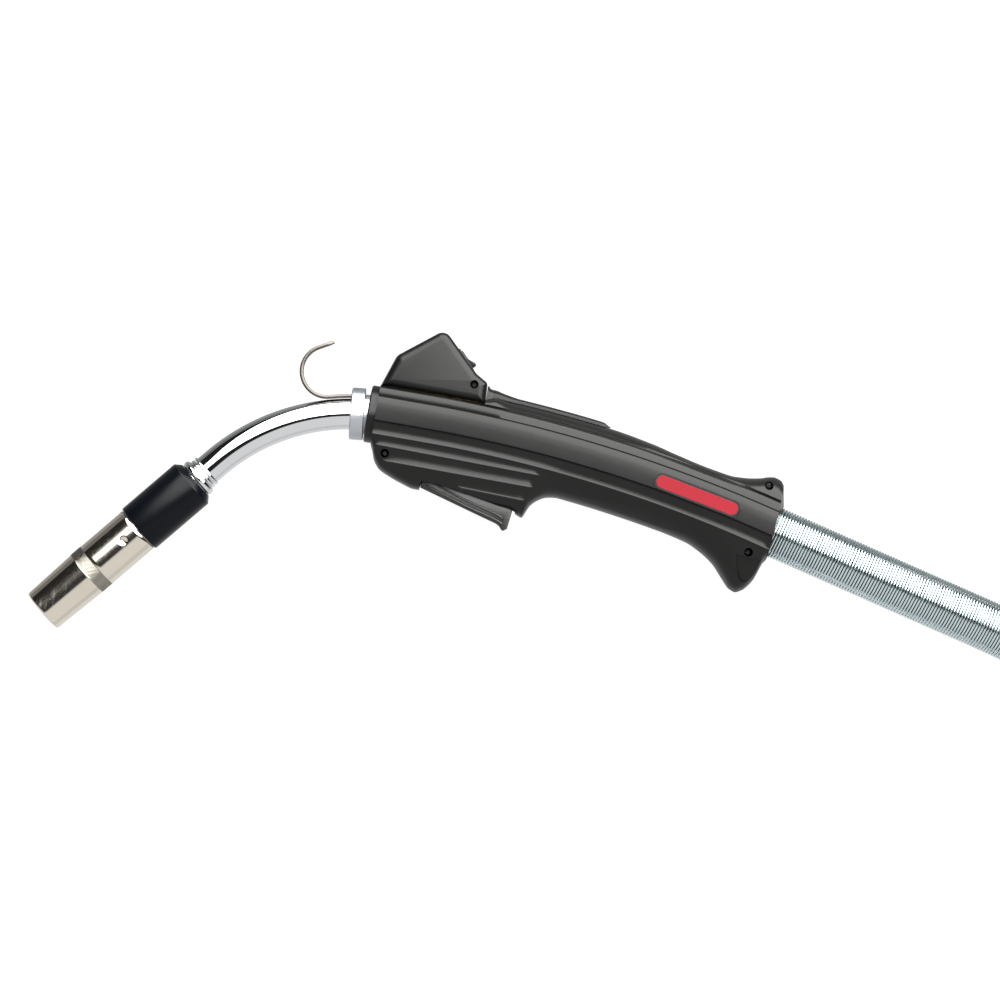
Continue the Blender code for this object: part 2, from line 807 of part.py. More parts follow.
def build_hook(mat):
    """A bent strip: it lies on the neck, then curls up and forwards into an open loop."""
    radius = NECK_RADIUS + GAP + HOOK_THICKNESS / 2
    line = [neck_point(HOOK_FROM + (HOOK_TO - HOOK_FROM) * k / 3, radius) for k in range(4)]
    headings = [math.pi + HOOK_FROM + (HOOK_TO - HOOK_FROM) * k / 3 for k in range(4)]
    heading = math.pi + HOOK_TO
    right = Vector((math.sin(heading), -math.cos(heading), 0))
    centre = line[-1] + HOOK_RADIUS * right
    for k in range(1, 17):
        turn = heading - HOOK_SWEEP * k / 16
        line.append(centre - HOOK_RADIUS * Vector((math.sin(turn), -math.cos(turn), 0)))
        headings.append(turn)
    line.append(line[-1] + HOOK_TIP * Vector((math.cos(headings[-1]), math.sin(headings[-1]), 0)))
    headings.append(headings[-1])
    half, wide = HOOK_THICKNESS / 2, HOOK_WIDTH / 2
    rings = []
    for point, turn in zip(line, headings, strict=True):
        across = Vector((math.sin(turn), -math.cos(turn), 0)) * half
        lift = Vector((0, 0, wide))
        rings.append([point + across + lift, point - across + lift, point - across - lift, point + across - lift])
    loft("hanger_hook", rings, mat["hook"])


def build_handle(mat):
    left = handle_half("handle_left_shell", 1, mat["handle"])
    handle_half("handle_right_shell", -1, mat["handle"])
    housing_half("switch_housing_left", 1, mat["handle"])
    housing_half("switch_housing_right", -1, mat["handle"])
    for k, (x, y) in enumerate(HANDLE_SCREWS, 1):
        screw(f"handle_screw_{k}", x, y, mat["screw"])
    screw("housing_screw", *HOUSING_SCREW, mat["screw"])
    build_spine_strip(mat)
    build_label(mat, left)


def build_spine_strip(mat):
    """The strip that covers the parting line on top, just above the shells."""
    rings = []
    rise, end = SEAT_REAR + 0.006, LIP_X + 0.0374
    count = 8
    for x in [SEAT_REAR + GAP] + [rise + (end - rise) * k / count for k in range(count + 1)]:
        axis, slope = spine(x)
        low = between(x, TOP_LINE) + 1.5 * GAP
        high = STRIP_HEIGHT - (0.0005 if x == end else 0.0)
        ring = ((low, 0.0062), (high - 0.0008, 0.0062), (high, 0.0050))
        ring = [(n, w) for n, w in ring] + [(n, -w) for n, w in ring[::-1]]
        rings.append([Vector((x, axis + n / math.cos(slope), HALF_WIDTH + w)) for n, w in ring])
    loft("spine_strip", rings, mat["handle"])


def capsule(length, height, count=6):
    straight = (length - height) / 2
    points = []
    for end in (1, -1):
        for k in range(count + 1):
            angle = end * math.pi / 2 - math.pi * k / count * 1.0
            points.append((end * straight + height / 2 * math.cos(angle), height / 2 * math.sin(angle)))
    return points


def build_label(mat, shell):
    """A capsule-shaped plate let into the left side's flat band, close to the rear flare."""
    x = FLARE_X + 0.0005
    axis, slope = spine(x)
    lift = (BAND_TOP + BAND_BOTTOM) / 2 - 0.0016
    top = 2 * HALF_WIDTH
    place = Matrix.Translation((x, axis + lift, 0)) @ Matrix.Rotation(-slope, 4, "Z")
    pocket = prism(
        "label_pocket",
        capsule(LABEL_LENGTH + 2 * GAP, LABEL_HEIGHT + 2 * GAP),
        top - LABEL_THICKNESS,
        top + 0.002,
        None,
        place=place,
    )
    change(shell, pocket)
    low = top - LABEL_THICKNESS + GAP
    prism("label_plate", capsule(LABEL_LENGTH, LABEL_HEIGHT), low, low + LABEL_THICKNESS, mat["label"], place=place)


def build_trigger(mat):
    px, py = PIVOT
    half = SLOT_WIDTH / 2 - TRIGGER_SIDE_GAP
    ear = [
        (px + EAR_RADIUS * math.cos(t), py + EAR_RADIUS * math.sin(t))
        for t in (math.radians(a) for a in (180, 145, 110, 75, 40, 5, -25))
    ]
    lower = (
        (0.0249, -0.0324),
        (0.0474, -0.0394),
        (0.0664, -0.0445),
        (0.0684, -0.0462),
        (0.0697, -0.0475),
        (0.0711, -0.0470),
        (0.0719, -0.0445),
        (0.0726, -0.0385),
        (TRIGGER_REAR - 0.0030, -0.0352),
        (0.0440, -0.0278),
        (0.0360, -0.0278),
    )
    outline = [*ear[::-1], *lower][::-1]
    outline = [(x - px, y - py) for x, y in outline]
    place = Matrix.Translation((px, py, HALF_WIDTH))
    lever = prism("trigger_lever", outline, -half, half, mat["trigger"], place=place)
    change(lever, bore("pin_way", PIN_RADIUS + PIN_CLEARANCE, (px, py, 0.0), (px, py, 0.04), 16))
    fork = block("spring_room", (px - 0.005, py - 0.0045, HALF_WIDTH - 0.0040), (px + 0.0060, 0.0, HALF_WIDTH + 0.0040))
    change(lever, fork)
    rod(
        "trigger_pin",
        ((PIN_RADIUS, -0.0106), (PIN_RADIUS, 0.0106)),
        mat["zinc"],
        Matrix.Translation((px, py, HALF_WIDTH)),
        16,
    )
    build_trigger_spring(mat)
    hang_on(empty("trigger_pivot", (px, py, HALF_WIDTH)), lever)
    build_microswitch(mat)


def build_trigger_spring(mat):
    """A torsion spring round the pin: one leg up against the neck block, one along the lever."""
    px, py = PIVOT
    wire, turns, radius = 0.0004, 4, 0.0024
    line = [Vector((px - radius, -0.0125, HALF_WIDTH + 0.0023))]
    count = 10 * turns
    for k in range(count + 4):
        angle = math.pi + math.tau * k / 10
        lift = 0.0023 - 0.0046 * k / (count + 3)
        line.append(Vector((px + radius * math.cos(angle), py + radius * math.sin(angle), HALF_WIDTH + lift)))
    last = line[-1]
    line.append(last + Vector((0.0045, 0.0003, 0)))
    rings = []
    for k, point in enumerate(line):
        ahead = (line[min(k + 1, len(line) - 1)] - line[max(k - 1, 0)]).normalized()
        side = ahead.cross(Vector((0, 0, 1))).normalized()
        up = side.cross(ahead)
        rings.append(
            [point + wire * (math.cos(t) * side + math.sin(t) * up) for t in (math.tau * j / 5 for j in range(5))]
        )
    loft("trigger_spring", rings, mat["zinc"])


def build_microswitch(mat):
    x, y = SWITCH_AT
    length, height, thick = SWITCH_SIZE
    low = HALF_WIDTH - thick / 2
    case = block("microswitch", (x, y, low), (x + length, y + height, low + thick), mat["switch"])
    spot = (x + 0.0040, y)
    change(
        case,
        bore(
            "plunger_way",
            PLUNGER_RADIUS + 0.0003,
            (spot[0], y - 0.001, HALF_WIDTH),
            (spot[0], y + 0.0060, HALF_WIDTH),
            12,
        ),
    )
    pad = -0.0278
    plunger = rod(
        "switch_plunger",
        ((PLUNGER_RADIUS, 0.0), (PLUNGER_RADIUS, 0.0075)),
        mat["rocker"],
        along((spot[0], pad + 0.0004, HALF_WIDTH), (0, 1, 0)),
        12,
    )
    hang_on(empty("plunger_slide", (spot[0], pad, HALF_WIDTH)), plunger)
    lead = [
        (x + length + 0.0004, y + 0.0040, HALF_WIDTH),
        (x + length + 0.0140, y + 0.0045, HALF_WIDTH + 0.002),
        (0.1000, -0.0190, HALF_WIDTH + 0.004),
        (0.1400, -0.0245, HALF_WIDTH + 0.004),
        (0.1650, -0.0300, HALF_WIDTH + 0.003),
        (0.1800, -0.0360, HALF_WIDTH),
    ]
    cord("control_lead", smooth_curve(lead, 0.008), 0.0014, mat["rubber"])


def build_rocker(mat):
    base = rocker_box("rocker_base", ROCKER_WALL, 0.0080, 0.0004)
    base.data.materials.append(mat["switch"])
    change(base, rocker_box("rocker_pocket", 0.0, 0.0060, 0.004))
    half = ROCKER_SIZE[1] / 2
    outline = (
        (-0.0055, -0.0018),
        (0.0055, -0.0018),
        (0.0050, 0.0024),
        (0.0040, 0.0027),
        (0.0004, 0.0010),
        (-0.0048, 0.0008),
        (-0.0055, 0.0004),
    )
    button = prism("rocker_button", outline, -half, half, mat["rocker"], place=rocker_place())
    button_pivot = rocker_place() @ Vector((0, -0.0010, 0))
    hang_on(empty("rocker_pivot", button_pivot), button)


def build_rear(mat):
    """Clamp, spring and conductor: what ties the cable to the handle."""
    clamp = REAR_EXIT - CABLE_INSIDE * REAR_AXIS
    turned(
        "spring_clamp",
        (
            (CABLE_RADIUS + 0.0004, 0.0),
            (CLAMP_RADIUS, 0.0),
            (CLAMP_RADIUS, CABLE_INSIDE - SPRING_INSIDE - GAP),
            (CABLE_RADIUS + 0.0004, CABLE_INSIDE - SPRING_INSIDE - GAP),
        ),
        mat["zinc"],
        along(clamp, REAR_AXIS),
    )
    line = stretch(CABLE_LINE, -SPRING_INSIDE, SPRING_OUTSIDE)
    pipe("rear_spring", line, SPRING_RADIUS, SPRING_RADIUS - SPRING_WIRE, mat["zinc"], 18)
    cord("cable_run", stretch(CABLE_LINE, -CABLE_INSIDE, 1.0), CABLE_RADIUS, mat["rubber"])
    core = []
    for k in range(9):
        x = TERMINAL_END + 0.0006 + (clamp.x - 0.0018 - TERMINAL_END) * k / 8
        core.append((x, spine(x)[0], HALF_WIDTH))
    cord("power_conductor", core, 0.0046, mat["copper"])


def stretch(points, start, end):
    """The part of a route between two distances, counted from the point nearest the rear exit."""
    zero = min(range(len(points)), key=lambda k: (points[k] - REAR_EXIT).length)
    marks = [0.0]
    for near, far in zip(points, points[1:], strict=False):
        marks.append(marks[-1] + (far - near).length)
    origin = marks[zero] + (REAR_EXIT - points[zero]).dot(REAR_AXIS)
    marks = [mark - origin for mark in marks]
    start, end = max(start, marks[0]), min(end, marks[-1])

    def at(mark):
        for k in range(len(marks) - 1):
            if mark <= marks[k + 1]:
                share = (mark - marks[k]) / (marks[k + 1] - marks[k])
                return points[k].lerp(points[k + 1], share)
        return points[-1]

    inside = [p for p, mark in zip(points, marks, strict=True) if start + 0.004 < mark < end - 0.004]
    return [at(start), *inside, at(end)]


def build_coil(mat):
    inner, outer = COIL_INNER - CABLE_RADIUS, COIL_OUTER + CABLE_RADIUS
    high = (COIL_LAYERS - 1) * LAYER_PITCH + 2 * CABLE_RADIUS + 0.0002
    place = Matrix.Translation((*COIL_CENTRE, 0.0))
    edge = 0.006
    profile = (
        (inner, edge),
        (inner + edge, 0.0),
        (outer - edge, 0.0),
        (outer, edge),
        (outer, high - edge),
        (outer - edge, high),
        (inner + edge, high),
        (inner, high - edge),
    )
    turned("cable_coil", profile, mat["rubber"], place, 40)


def tail_point(distance):
    """The last turn leaves the coil on a tighter bend that climbs over it, until it heads along +Y."""
    centre = Vector((*COIL_CENTRE, 0)) + (TAIL_OUTER - TAIL_RADIUS) * Vector(
        (math.cos(TAIL_START), math.sin(TAIL_START), 0)
    )
    last = TAIL_RADIUS * (math.tau - TAIL_START)
    angle = TAIL_START + min(distance, last) / TAIL_RADIUS
    low = CABLE_RADIUS + 0.0001 + LAYER_PITCH
    share = min(1.0, max(0.0, (distance + 0.06) / 0.20))
    height = low + (CONNECTOR_HEIGHT - low) * share**2 * (3 - 2 * share)
    point = centre + TAIL_RADIUS * Vector((math.cos(angle), math.sin(angle), 0))
    return point + Vector((0, max(0.0, distance - last), height))


CONNECTOR_HEIGHT = LAYER_PITCH + 2 * CABLE_RADIUS + 0.0006 + NUT_RADIUS


def build_connector(mat):
    """A generic central connector that lies on the coil, pointing along +Y."""
    last = TAIL_RADIUS * (math.tau - TAIL_START)
    start = tail_point(last)
    place = along(start, (0, 1, 0))
    cable_in = 0.040
    first = 0.062
    count = 12
    line = [tail_point(first + (last + cable_in - first) * k / count) for k in range(count + 1)]
    cord("cable_tail", line, CABLE_RADIUS, mat["rubber"])
    hole = CABLE_RADIUS + GAP
    turned(
        "connector_boot",
        (
            (hole, 0.0),
            (CABLE_RADIUS + 0.0020, 0.0),
            (CABLE_RADIUS + 0.0042, 0.035),
            (0.0170, 0.050),
            (0.0170, BOOT_LENGTH),
            (hole, BOOT_LENGTH),
        ),
        mat["rubber"],
        place,
    )
    body, front = BOOT_LENGTH + GAP, BOOT_LENGTH + BODY_LENGTH
    turned(
        "connector_body",
        (
            (0.0145, body),
            (BODY_RADIUS - 0.002, body),
            (BODY_RADIUS, body + 0.002),
            (BODY_RADIUS, front),
            (0.0145, front),
        ),
        mat["plastic"],
        place,
        28,
    )
    face = turned(
        "connector_face",
        (
            (NIPPLE_RADIUS + GAP, front - 0.010),
            (0.0142, front - 0.010),
            (0.0142, front + GAP),
            (0.0166, front + GAP),
            (0.0166, front + 0.004),
            (NIPPLE_RADIUS + GAP, front + 0.004),
        ),
        mat["switch"],
        place,
        24,
    )
    nut = turned(
        "hand_nut",
        (
            (BODY_RADIUS + 0.0004, front - 0.014),
            (NUT_RADIUS - 0.001, front - 0.014),
            (NUT_RADIUS, front - 0.013),
            (NUT_RADIUS, front + NUT_LENGTH - 0.015),
            (NUT_RADIUS - 0.001, front + NUT_LENGTH - 0.014),
            (0.0172, front + NUT_LENGTH - 0.014),
            (0.0172, front + 0.0006),
            (BODY_RADIUS + 0.0004, front + 0.0006),
        ),
        mat["plastic"],
        place,
        32,
    )
    hang_on(empty("nut_axis", place @ Vector((0, 0, front))), nut)
    tip = front + 0.004 + NIPPLE_REACH
    turned(
        "gas_nipple",
        (
            (0.0022, front - 0.012),
            (NIPPLE_RADIUS, front - 0.012),
            (NIPPLE_RADIUS, tip - 0.0125),
            (NIPPLE_RADIUS - 0.0010, tip - 0.0125),
            (NIPPLE_RADIUS - 0.0010, tip - 0.0105),
            (NIPPLE_RADIUS, tip - 0.0105),
            (NIPPLE_RADIUS, tip - 0.0065),
            (NIPPLE_RADIUS - 0.0010, tip - 0.0065),
            (NIPPLE_RADIUS - 0.0010, tip - 0.0045),
            (NIPPLE_RADIUS, tip - 0.0045),
            (NIPPLE_RADIUS, tip),
            (0.0022, tip),
        ),
        mat["brass"],
        place,
        20,
    )
    for word, back in (("front", 0.0055), ("rear", 0.0115)):
        ring = [
            (NIPPLE_RADIUS + 0.00005 + 0.0006 * math.cos(t), tip - back + 0.0006 * math.sin(t))
            for t in (math.tau * k / 6 for k in range(6))
        ]
        turned(f"o_ring_{word}", ring, mat["rubber"], place, 16)
    turned(
        "liner_nut",
        ((0.0012, tip + GAP), (0.0042, tip + GAP), (0.0042, tip + 0.004), (0.0030, tip + 0.005), (0.0012, tip + 0.005)),
        mat["brass"],
        place,
        6,
    )
    for k, side in enumerate((1, -1), 1):
        spot = place @ Matrix.Rotation(PIN_CONTACT_TURN, 4, "Z") @ Matrix.Translation((side * PIN_CONTACT_OFFSET, 0, 0))
        low, high = spot @ Vector((0, 0, front - 0.012)), spot @ Vector((0, 0, front + 0.010))
        change(face, bore(f"contact_way_{k}", PIN_CONTACT_RADIUS + GAP, low, high, 12))
        pin = rod(
            f"contact_pin_{k}",
            (
                (PIN_CONTACT_RADIUS, front - 0.008),
                (PIN_CONTACT_RADIUS, front + 0.0105),
                (PIN_CONTACT_RADIUS - 0.0006, front + 0.0115),
            ),
            mat["brass"],
            spot,
            12,
        )
        hang_on(empty(f"contact_slide_{k}", spot @ Vector((0, 0, front))), pin)


def build():
    clear_scene()
    mat = {
        "handle": material("handle_plastic", (0.030, 0.030, 0.032), 0.42),
        "trigger": material("trigger_plastic", (0.028, 0.028, 0.030), 0.38),
        "phenolic": material("insulator_black", (0.016, 0.018, 0.024), 0.35),
        "chrome": material("polished_chrome", (0.80, 0.81, 0.83), 0.08, 1.0),
        "nickel": material("warm_nickel", (0.72, 0.69, 0.62), 0.20, 1.0),
        "hook": material("plated_strip", (0.62, 0.60, 0.56), 0.28, 1.0),
        "aluminium": material("satin_aluminium", (0.72, 0.73, 0.75), 0.38, 1.0),
        "zinc": material("zinc_plate", (0.74, 0.78, 0.84), 0.25, 1.0),
        "brass": material("brass", (0.70, 0.52, 0.24), 0.30, 1.0),
        "copper": material("copper", (0.78, 0.42, 0.28), 0.28, 1.0),
        "label": material("label_red", (0.55, 0.020, 0.030), 0.30),
        "rubber": material("cable_rubber", (0.022, 0.022, 0.023), 0.60),
        "plastic": material("connector_plastic", (0.030, 0.030, 0.031), 0.45),
        "switch": material("switch_plastic", (0.050, 0.050, 0.052), 0.50),
        "rocker": material("rocker_plastic", (0.020, 0.020, 0.021), 0.40),
        "screw": material("blackened_screw", (0.20, 0.20, 0.21), 0.35, 1.0),
    }
    build_front_end(mat)
    build_neck(mat)
    build_handle(mat)
    build_trigger(mat)
    build_rocker(mat)
    build_rear(mat)
    build_coil(mat)
    build_connector(mat)


build()
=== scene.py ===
"""The looks of a MIG welding torch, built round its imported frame.

The torch lies on the right side of its handle. X runs towards the cable, Y towards the hook and Z towards
the torch's left side. Metres throughout.
"""

import math
from bisect import bisect_right

import bpy
from mathutils import Matrix, Vector


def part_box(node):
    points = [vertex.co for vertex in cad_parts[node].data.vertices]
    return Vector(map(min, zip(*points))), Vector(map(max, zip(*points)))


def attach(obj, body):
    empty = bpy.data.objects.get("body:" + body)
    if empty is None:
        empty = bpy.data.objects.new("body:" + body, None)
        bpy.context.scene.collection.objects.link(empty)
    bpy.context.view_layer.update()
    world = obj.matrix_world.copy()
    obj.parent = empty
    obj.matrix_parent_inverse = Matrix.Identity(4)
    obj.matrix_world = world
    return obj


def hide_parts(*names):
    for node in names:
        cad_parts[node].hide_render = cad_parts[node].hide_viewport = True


bl_info = {
    "name": "Welding torch looks",
    "version": (1, 0, 0),
    "blender": (4, 5, 0),
    "location": "3D View > Sidebar > Torch",
    "description": "Builds the visible pieces and the stage of a MIG welding torch",
    "category": "Object",
}

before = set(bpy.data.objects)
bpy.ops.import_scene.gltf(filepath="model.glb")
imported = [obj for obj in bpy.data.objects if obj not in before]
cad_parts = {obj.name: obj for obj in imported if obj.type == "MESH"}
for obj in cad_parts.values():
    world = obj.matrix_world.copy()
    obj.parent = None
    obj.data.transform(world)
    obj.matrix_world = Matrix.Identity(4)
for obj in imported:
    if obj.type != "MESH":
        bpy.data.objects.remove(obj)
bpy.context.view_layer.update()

HAIR = 0.0003  # gap between pieces that touch


def span(node, axis):
    low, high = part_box(node)
    return low[axis], high[axis]


MID_Z = sum(span("neck_tube", 2)) / 2
HALF_WIDTH = span("handle_left_shell", 2)[1] - MID_Z
HANDLE_FRONT = -0.0046
HANDLE_REAR = 0.2078
NOSE_FRONT = span("handle_left_shell", 0)[0]
LIP_X = HANDLE_FRONT + 0.0832
FLARE_X = LIP_X + 0.0864
SEAT_REAR = 0.0500
BEND_START = 0.0218
SPINE_RADIUS = 0.738
SPINE_BEND = math.radians(13.9)
REAR_TILT = math.tan(math.radians(3.6))
BAND_TOP = 0.010
BAND_BOTTOM = -0.003
NECK_RADIUS = 0.00795
NECK_BEND_RADIUS = 0.107
NECK_BEND = math.radians(50.4)
CABLE_RADIUS = 0.0095
SPRING_RADIUS = 0.01325

# Height of the handle's top line above its spine line, and depth of its bottom line below it
TOP_LINE = (
    (HANDLE_FRONT, 0.0180),
    (SEAT_REAR, 0.0180),
    (SEAT_REAR + 0.006, 0.0200),
    (LIP_X + 0.038, 0.0200),
    (FLARE_X - 0.025, 0.0191),
    (FLARE_X - 0.013, 0.0181),
    (FLARE_X + 0.003, 0.0174),
    (FLARE_X + 0.015, 0.0177),
    (FLARE_X + 0.023, 0.0194),
    (FLARE_X + 0.031, 0.0224),
    (FLARE_X + 0.035, 0.0246),
    (HANDLE_REAR - 0.0045, 0.0257),
    (HANDLE_REAR - 0.0015, 0.0254),
    (HANDLE_REAR, 0.0240),
)
BOTTOM_LINE = (
    (HANDLE_FRONT, 0.0160),
    (HANDLE_FRONT + 0.0029, 0.0232),
    (HANDLE_FRONT + 0.0063, 0.0273),
    (HANDLE_FRONT + 0.0126, 0.0303),
    (HANDLE_FRONT + 0.0200, 0.0329),
    (0.0210, 0.0343),
    (0.0238, 0.0343),
    (0.0244, 0.0294),
    (LIP_X - 0.0076, 0.0347),
    (LIP_X, 0.0371),
    (LIP_X + 0.0012, 0.0348),
    (LIP_X + 0.0031, 0.0303),
    (LIP_X + 0.0072, 0.0259),
    (LIP_X + 0.0115, 0.0235),
    (LIP_X + 0.0174, 0.0224),
    (FLARE_X - 0.015, 0.0224),
    (FLARE_X - 0.001, 0.0229),
    (FLARE_X + 0.007, 0.0246),
    (FLARE_X + 0.015, 0.0277),
    (FLARE_X + 0.023, 0.0336),
    (FLARE_X + 0.027, 0.0362),
    (FLARE_X + 0.030, 0.0366),
    (FLARE_X + 0.034, 0.0342),
    (FLARE_X + 0.039, 0.0266),
    (HANDLE_REAR - 0.0012, 0.0170),
    (HANDLE_REAR, 0.0152),
)

# The bottom line as the sides follow it, carried across the trigger's slot
BOTTOM_SIDES = tuple(spot for spot in BOTTOM_LINE if spot != (0.0244, 0.0294))

# Side view of the switch housing: (x, y, radius of the corner)
HOUSING_CORNERS = (
    (-0.0046, 0.0157, 0.0004),
    (0.0010, 0.0322, 0.0060),
    (0.0232, 0.0496, 0.0050),
    (0.0432, 0.0298, 0.0050),
    (0.0495, 0.0262, 0.0024),
    (0.0499, 0.01515, 0.0004),
)

# The cable's way from the handle to its coil, repeated from the part
CABLE_ROUTE = (
    (0.1841, -0.0179, 0.0190),
    (0.2093, -0.0241, 0.0190),
    (0.2480, -0.0337, 0.0188),
    (0.2900, -0.0441, 0.0172),
    (0.3300, -0.0540, 0.0152),
    (0.3600, -0.0622, 0.0138),
    (0.3640, -0.0636, 0.0136),
    (0.3950, -0.0787, 0.0112),
)
COIL_CENTRE = Vector((0.4842, 0.0127, 0.0))
COIL_ENTRY = math.radians(241.1)
COIL_OUTER = 0.1225
COIL_INNER = 0.0839
TAIL_OUTER = 0.1177
TAIL_RADIUS = 0.080
LOWER_TURNS = 2.0
UPPER_TURNS = 1.75
LAYER_PITCH = 0.0193
CONNECTOR_X = 0.546
CONNECTOR_HEIGHT = sum(span("hand_nut", 2)) / 2

HANDLE_SCREWS = ("handle_screw_1", "handle_screw_2", "handle_screw_3")


# Modelling helpers


def clear_selection():
    if bpy.context.mode != "OBJECT":
        bpy.ops.object.mode_set(mode="OBJECT")
    bpy.ops.object.select_all(action="DESELECT")


def pick(piece):
    clear_selection()
    piece.select_set(True)
    bpy.context.view_layer.objects.active = piece
    return piece


def settle(piece, place=None):
    """Moves the piece's place, turn and size into its mesh."""
    piece.data.transform((place or Matrix.Identity(4)) @ piece.matrix_basis)
    piece.matrix_basis = Matrix.Identity(4)
    return piece


def apply_modifier(piece, kind, **values):
    pick(piece)
    modifier = piece.modifiers.new(kind.title(), kind)
    for name, value in values.items():
        setattr(modifier, name, value)
    bpy.ops.object.modifier_apply(modifier=modifier.name)
    return piece


def round_edges(piece, width, segments=3, angle=30.0):
    return apply_modifier(
        piece,
        "BEVEL",
        width=width,
        segments=segments,
        limit_method="ANGLE",
        angle_limit=math.radians(angle),
    )


def cut(piece, cutter, operation="DIFFERENCE"):
    apply_modifier(piece, "BOOLEAN", object=cutter, operation=operation, solver="EXACT")
    bpy.data.objects.remove(cutter, do_unlink=True)
    return piece


def finish_called(name):
    """A finish of this script, not the frame's own material of that name."""
    return bpy.data.materials[f"{name}_finish"]


def hand_over(piece, body, finishes, nodes, angle=35.0):
    """Shades the piece, gives it its finishes and sets it on its body."""
    pick(piece)
    bpy.ops.object.shade_smooth_by_angle(angle=math.radians(angle))
    finishes = [finishes] if isinstance(finishes, str) else finishes
    while len(piece.data.materials) < len(finishes):
        piece.data.materials.append(None)
    for k, finish in enumerate(finishes):
        piece.data.materials[k] = finish_called(finish)
    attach(piece, body)
    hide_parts(*nodes)
    return piece


def tidy_faces(piece, merge=1e-7):
    """Merges doubled points and turns every face outwards."""
    pick(piece)
    bpy.ops.object.mode_set(mode="EDIT")
    bpy.ops.mesh.select_all(action="SELECT")
    bpy.ops.mesh.remove_doubles(threshold=merge)
    bpy.ops.mesh.normals_make_consistent(inside=False)
    bpy.ops.object.mode_set(mode="OBJECT")
    return piece


def build_mesh(name, points, faces):
    mesh = bpy.data.meshes.new(name)
    mesh.from_pydata(points, [], faces)
    piece = bpy.data.objects.new(name, mesh)
    bpy.context.scene.collection.objects.link(piece)
    return tidy_faces(piece)


def loft(name, loops, ends="fill"):
    """Joins closed loops of points. ends: fill closes them flat, join joins last to first."""
    count = len(loops[0])
    points = [tuple(point) for loop in loops for point in loop]
    faces = []
    rows = len(loops) if ends == "join" else len(loops) - 1
    for row in range(rows):
        near, far = row * count, (row + 1) % len(loops) * count
        for k in range(count):
            after = (k + 1) % count
            faces.append((near + k, near + after, far + after, far + k))
    if ends == "fill":
        faces.append(tuple(range(count)))
        faces.append(tuple(range(len(points) - count, len(points))))
    return build_mesh(name, points, faces)


def lathe(name, profile, place, steps=96):
    """Spins a closed outline of (radius, along) a full turn about the placement's Z."""
    clear_selection()
    bpy.ops.mesh.primitive_circle_add(vertices=len(profile), radius=1.0)
    piece = bpy.context.object
    piece.name = name
    for vertex, (radius, reach) in zip(piece.data.vertices, profile, strict=True):
        vertex.co = (radius, 0.0, reach)
    bpy.ops.object.mode_set(mode="EDIT")
    bpy.ops.mesh.select_all(action="SELECT")
    bpy.ops.mesh.spin(steps=steps, angle=math.tau, center=(0.0, 0.0, 0.0), axis=(0.0, 0.0, 1.0))
    bpy.ops.object.mode_set(mode="OBJECT")
    return settle(tidy_faces(piece, 1e-6), place)


def extrude_outline(name, outline, low, high, place=None):
    """Draws a flat outline out from low to high along Z."""
    clear_selection()
    bpy.ops.mesh.primitive_circle_add(vertices=len(outline), radius=1.0, fill_type="NGON")
    piece = bpy.context.object
    piece.name = name
    for vertex, (x, y) in zip(piece.data.vertices, outline, strict=True):
        vertex.co = (x, y, low)
    bpy.ops.object.mode_set(mode="EDIT")
    bpy.ops.mesh.select_all(action="SELECT")
    bpy.ops.mesh.extrude_region_move(TRANSFORM_OT_translate={"value": (0.0, 0.0, high - low)})
    bpy.ops.object.mode_set(mode="OBJECT")
    return settle(tidy_faces(piece), place)


def box_of(name, low, high, place=None):
    outline = ((low[0], low[1]), (high[0], low[1]), (high[0], high[1]), (low[0], high[1]))
    return extrude_outline(name, outline, low[2], high[2], place)


def drum(name, radius, start, end, sides=48):
    """A round bar between two points."""
    reach = Vector(end) - Vector(start)
    clear_selection()
    bpy.ops.mesh.primitive_cylinder_add(vertices=sides, radius=radius, depth=reach.length)
    piece = bpy.context.object
    piece.name = name
    middle = (Vector(start) + Vector(end)) / 2
    turn = reach.to_track_quat("Z", "Y").to_matrix().to_4x4()
    return settle(piece, Matrix.Translation(middle) @ turn)


def aim(origin, direction):
    """A placement whose Z runs along direction from origin."""
    place = Vector(direction).to_track_quat("Z", "Y").to_matrix().to_4x4()
    place.translation = Vector(origin)
    return place


def join(pieces, name):
    pick(pieces[0])
    for piece in pieces:
        piece.select_set(True)
    bpy.ops.object.join()
    pieces[0].name = name
    return pieces[0]


def flow(value, table):
    """Reads a smooth line without overshoot through (x, value) points."""
    if value <= table[0][0]:
        return table[0][1]
    for k in range(len(table) - 1):
        (x0, v0), (x1, v1) = table[k : k + 2]
        if value > x1:
            continue
        t, width = (value - x0) / (x1 - x0), x1 - x0
        near, far = slope_at(k, table), slope_at(k + 1, table)
        shape = (1 + 2 * t) * (1 - t) ** 2 * v0 + t * t * (3 - 2 * t) * v1
        return shape + width * (t * (1 - t) ** 2 * near - t * t * (1 - t) * far)
    return table[-1][1]


def slope_at(k, table):
    """The slope at a table's point, level at a peak, a dip or a step's foot."""
    if k in (0, len(table) - 1):
        return 0.0
    (x0, v0), (x1, v1), (x2, v2) = table[k - 1 : k + 2]
    before, after = (v1 - v0) / (x1 - x0), (v2 - v1) / (x2 - x1)
    return 0.0 if before * after <= 0 else 2 * before * after / (before + after)


def smooth_curve(points, step):
    """Points about step apart on a smooth curve through points."""
    line = [Vector(p) for p in points]
    line = [2 * line[0] - line[1], *line, 2 * line[-1] - line[-2]]
    found = []
    for k in range(1, len(line) - 2):
        p0, p1, p2, p3 = line[k - 1 : k + 3]
        count = max(1, round((p2 - p1).length / step))
        for j in range(count):
            t = j / count
            bend = (2 * p0 - 5 * p1 + 4 * p2 - p3) * t**2 + (3 * p1 - p0 - 3 * p2 + p3) * t**3
            found.append(0.5 * (2 * p1 + (p2 - p0) * t + bend))
    return [*found, line[-2]]


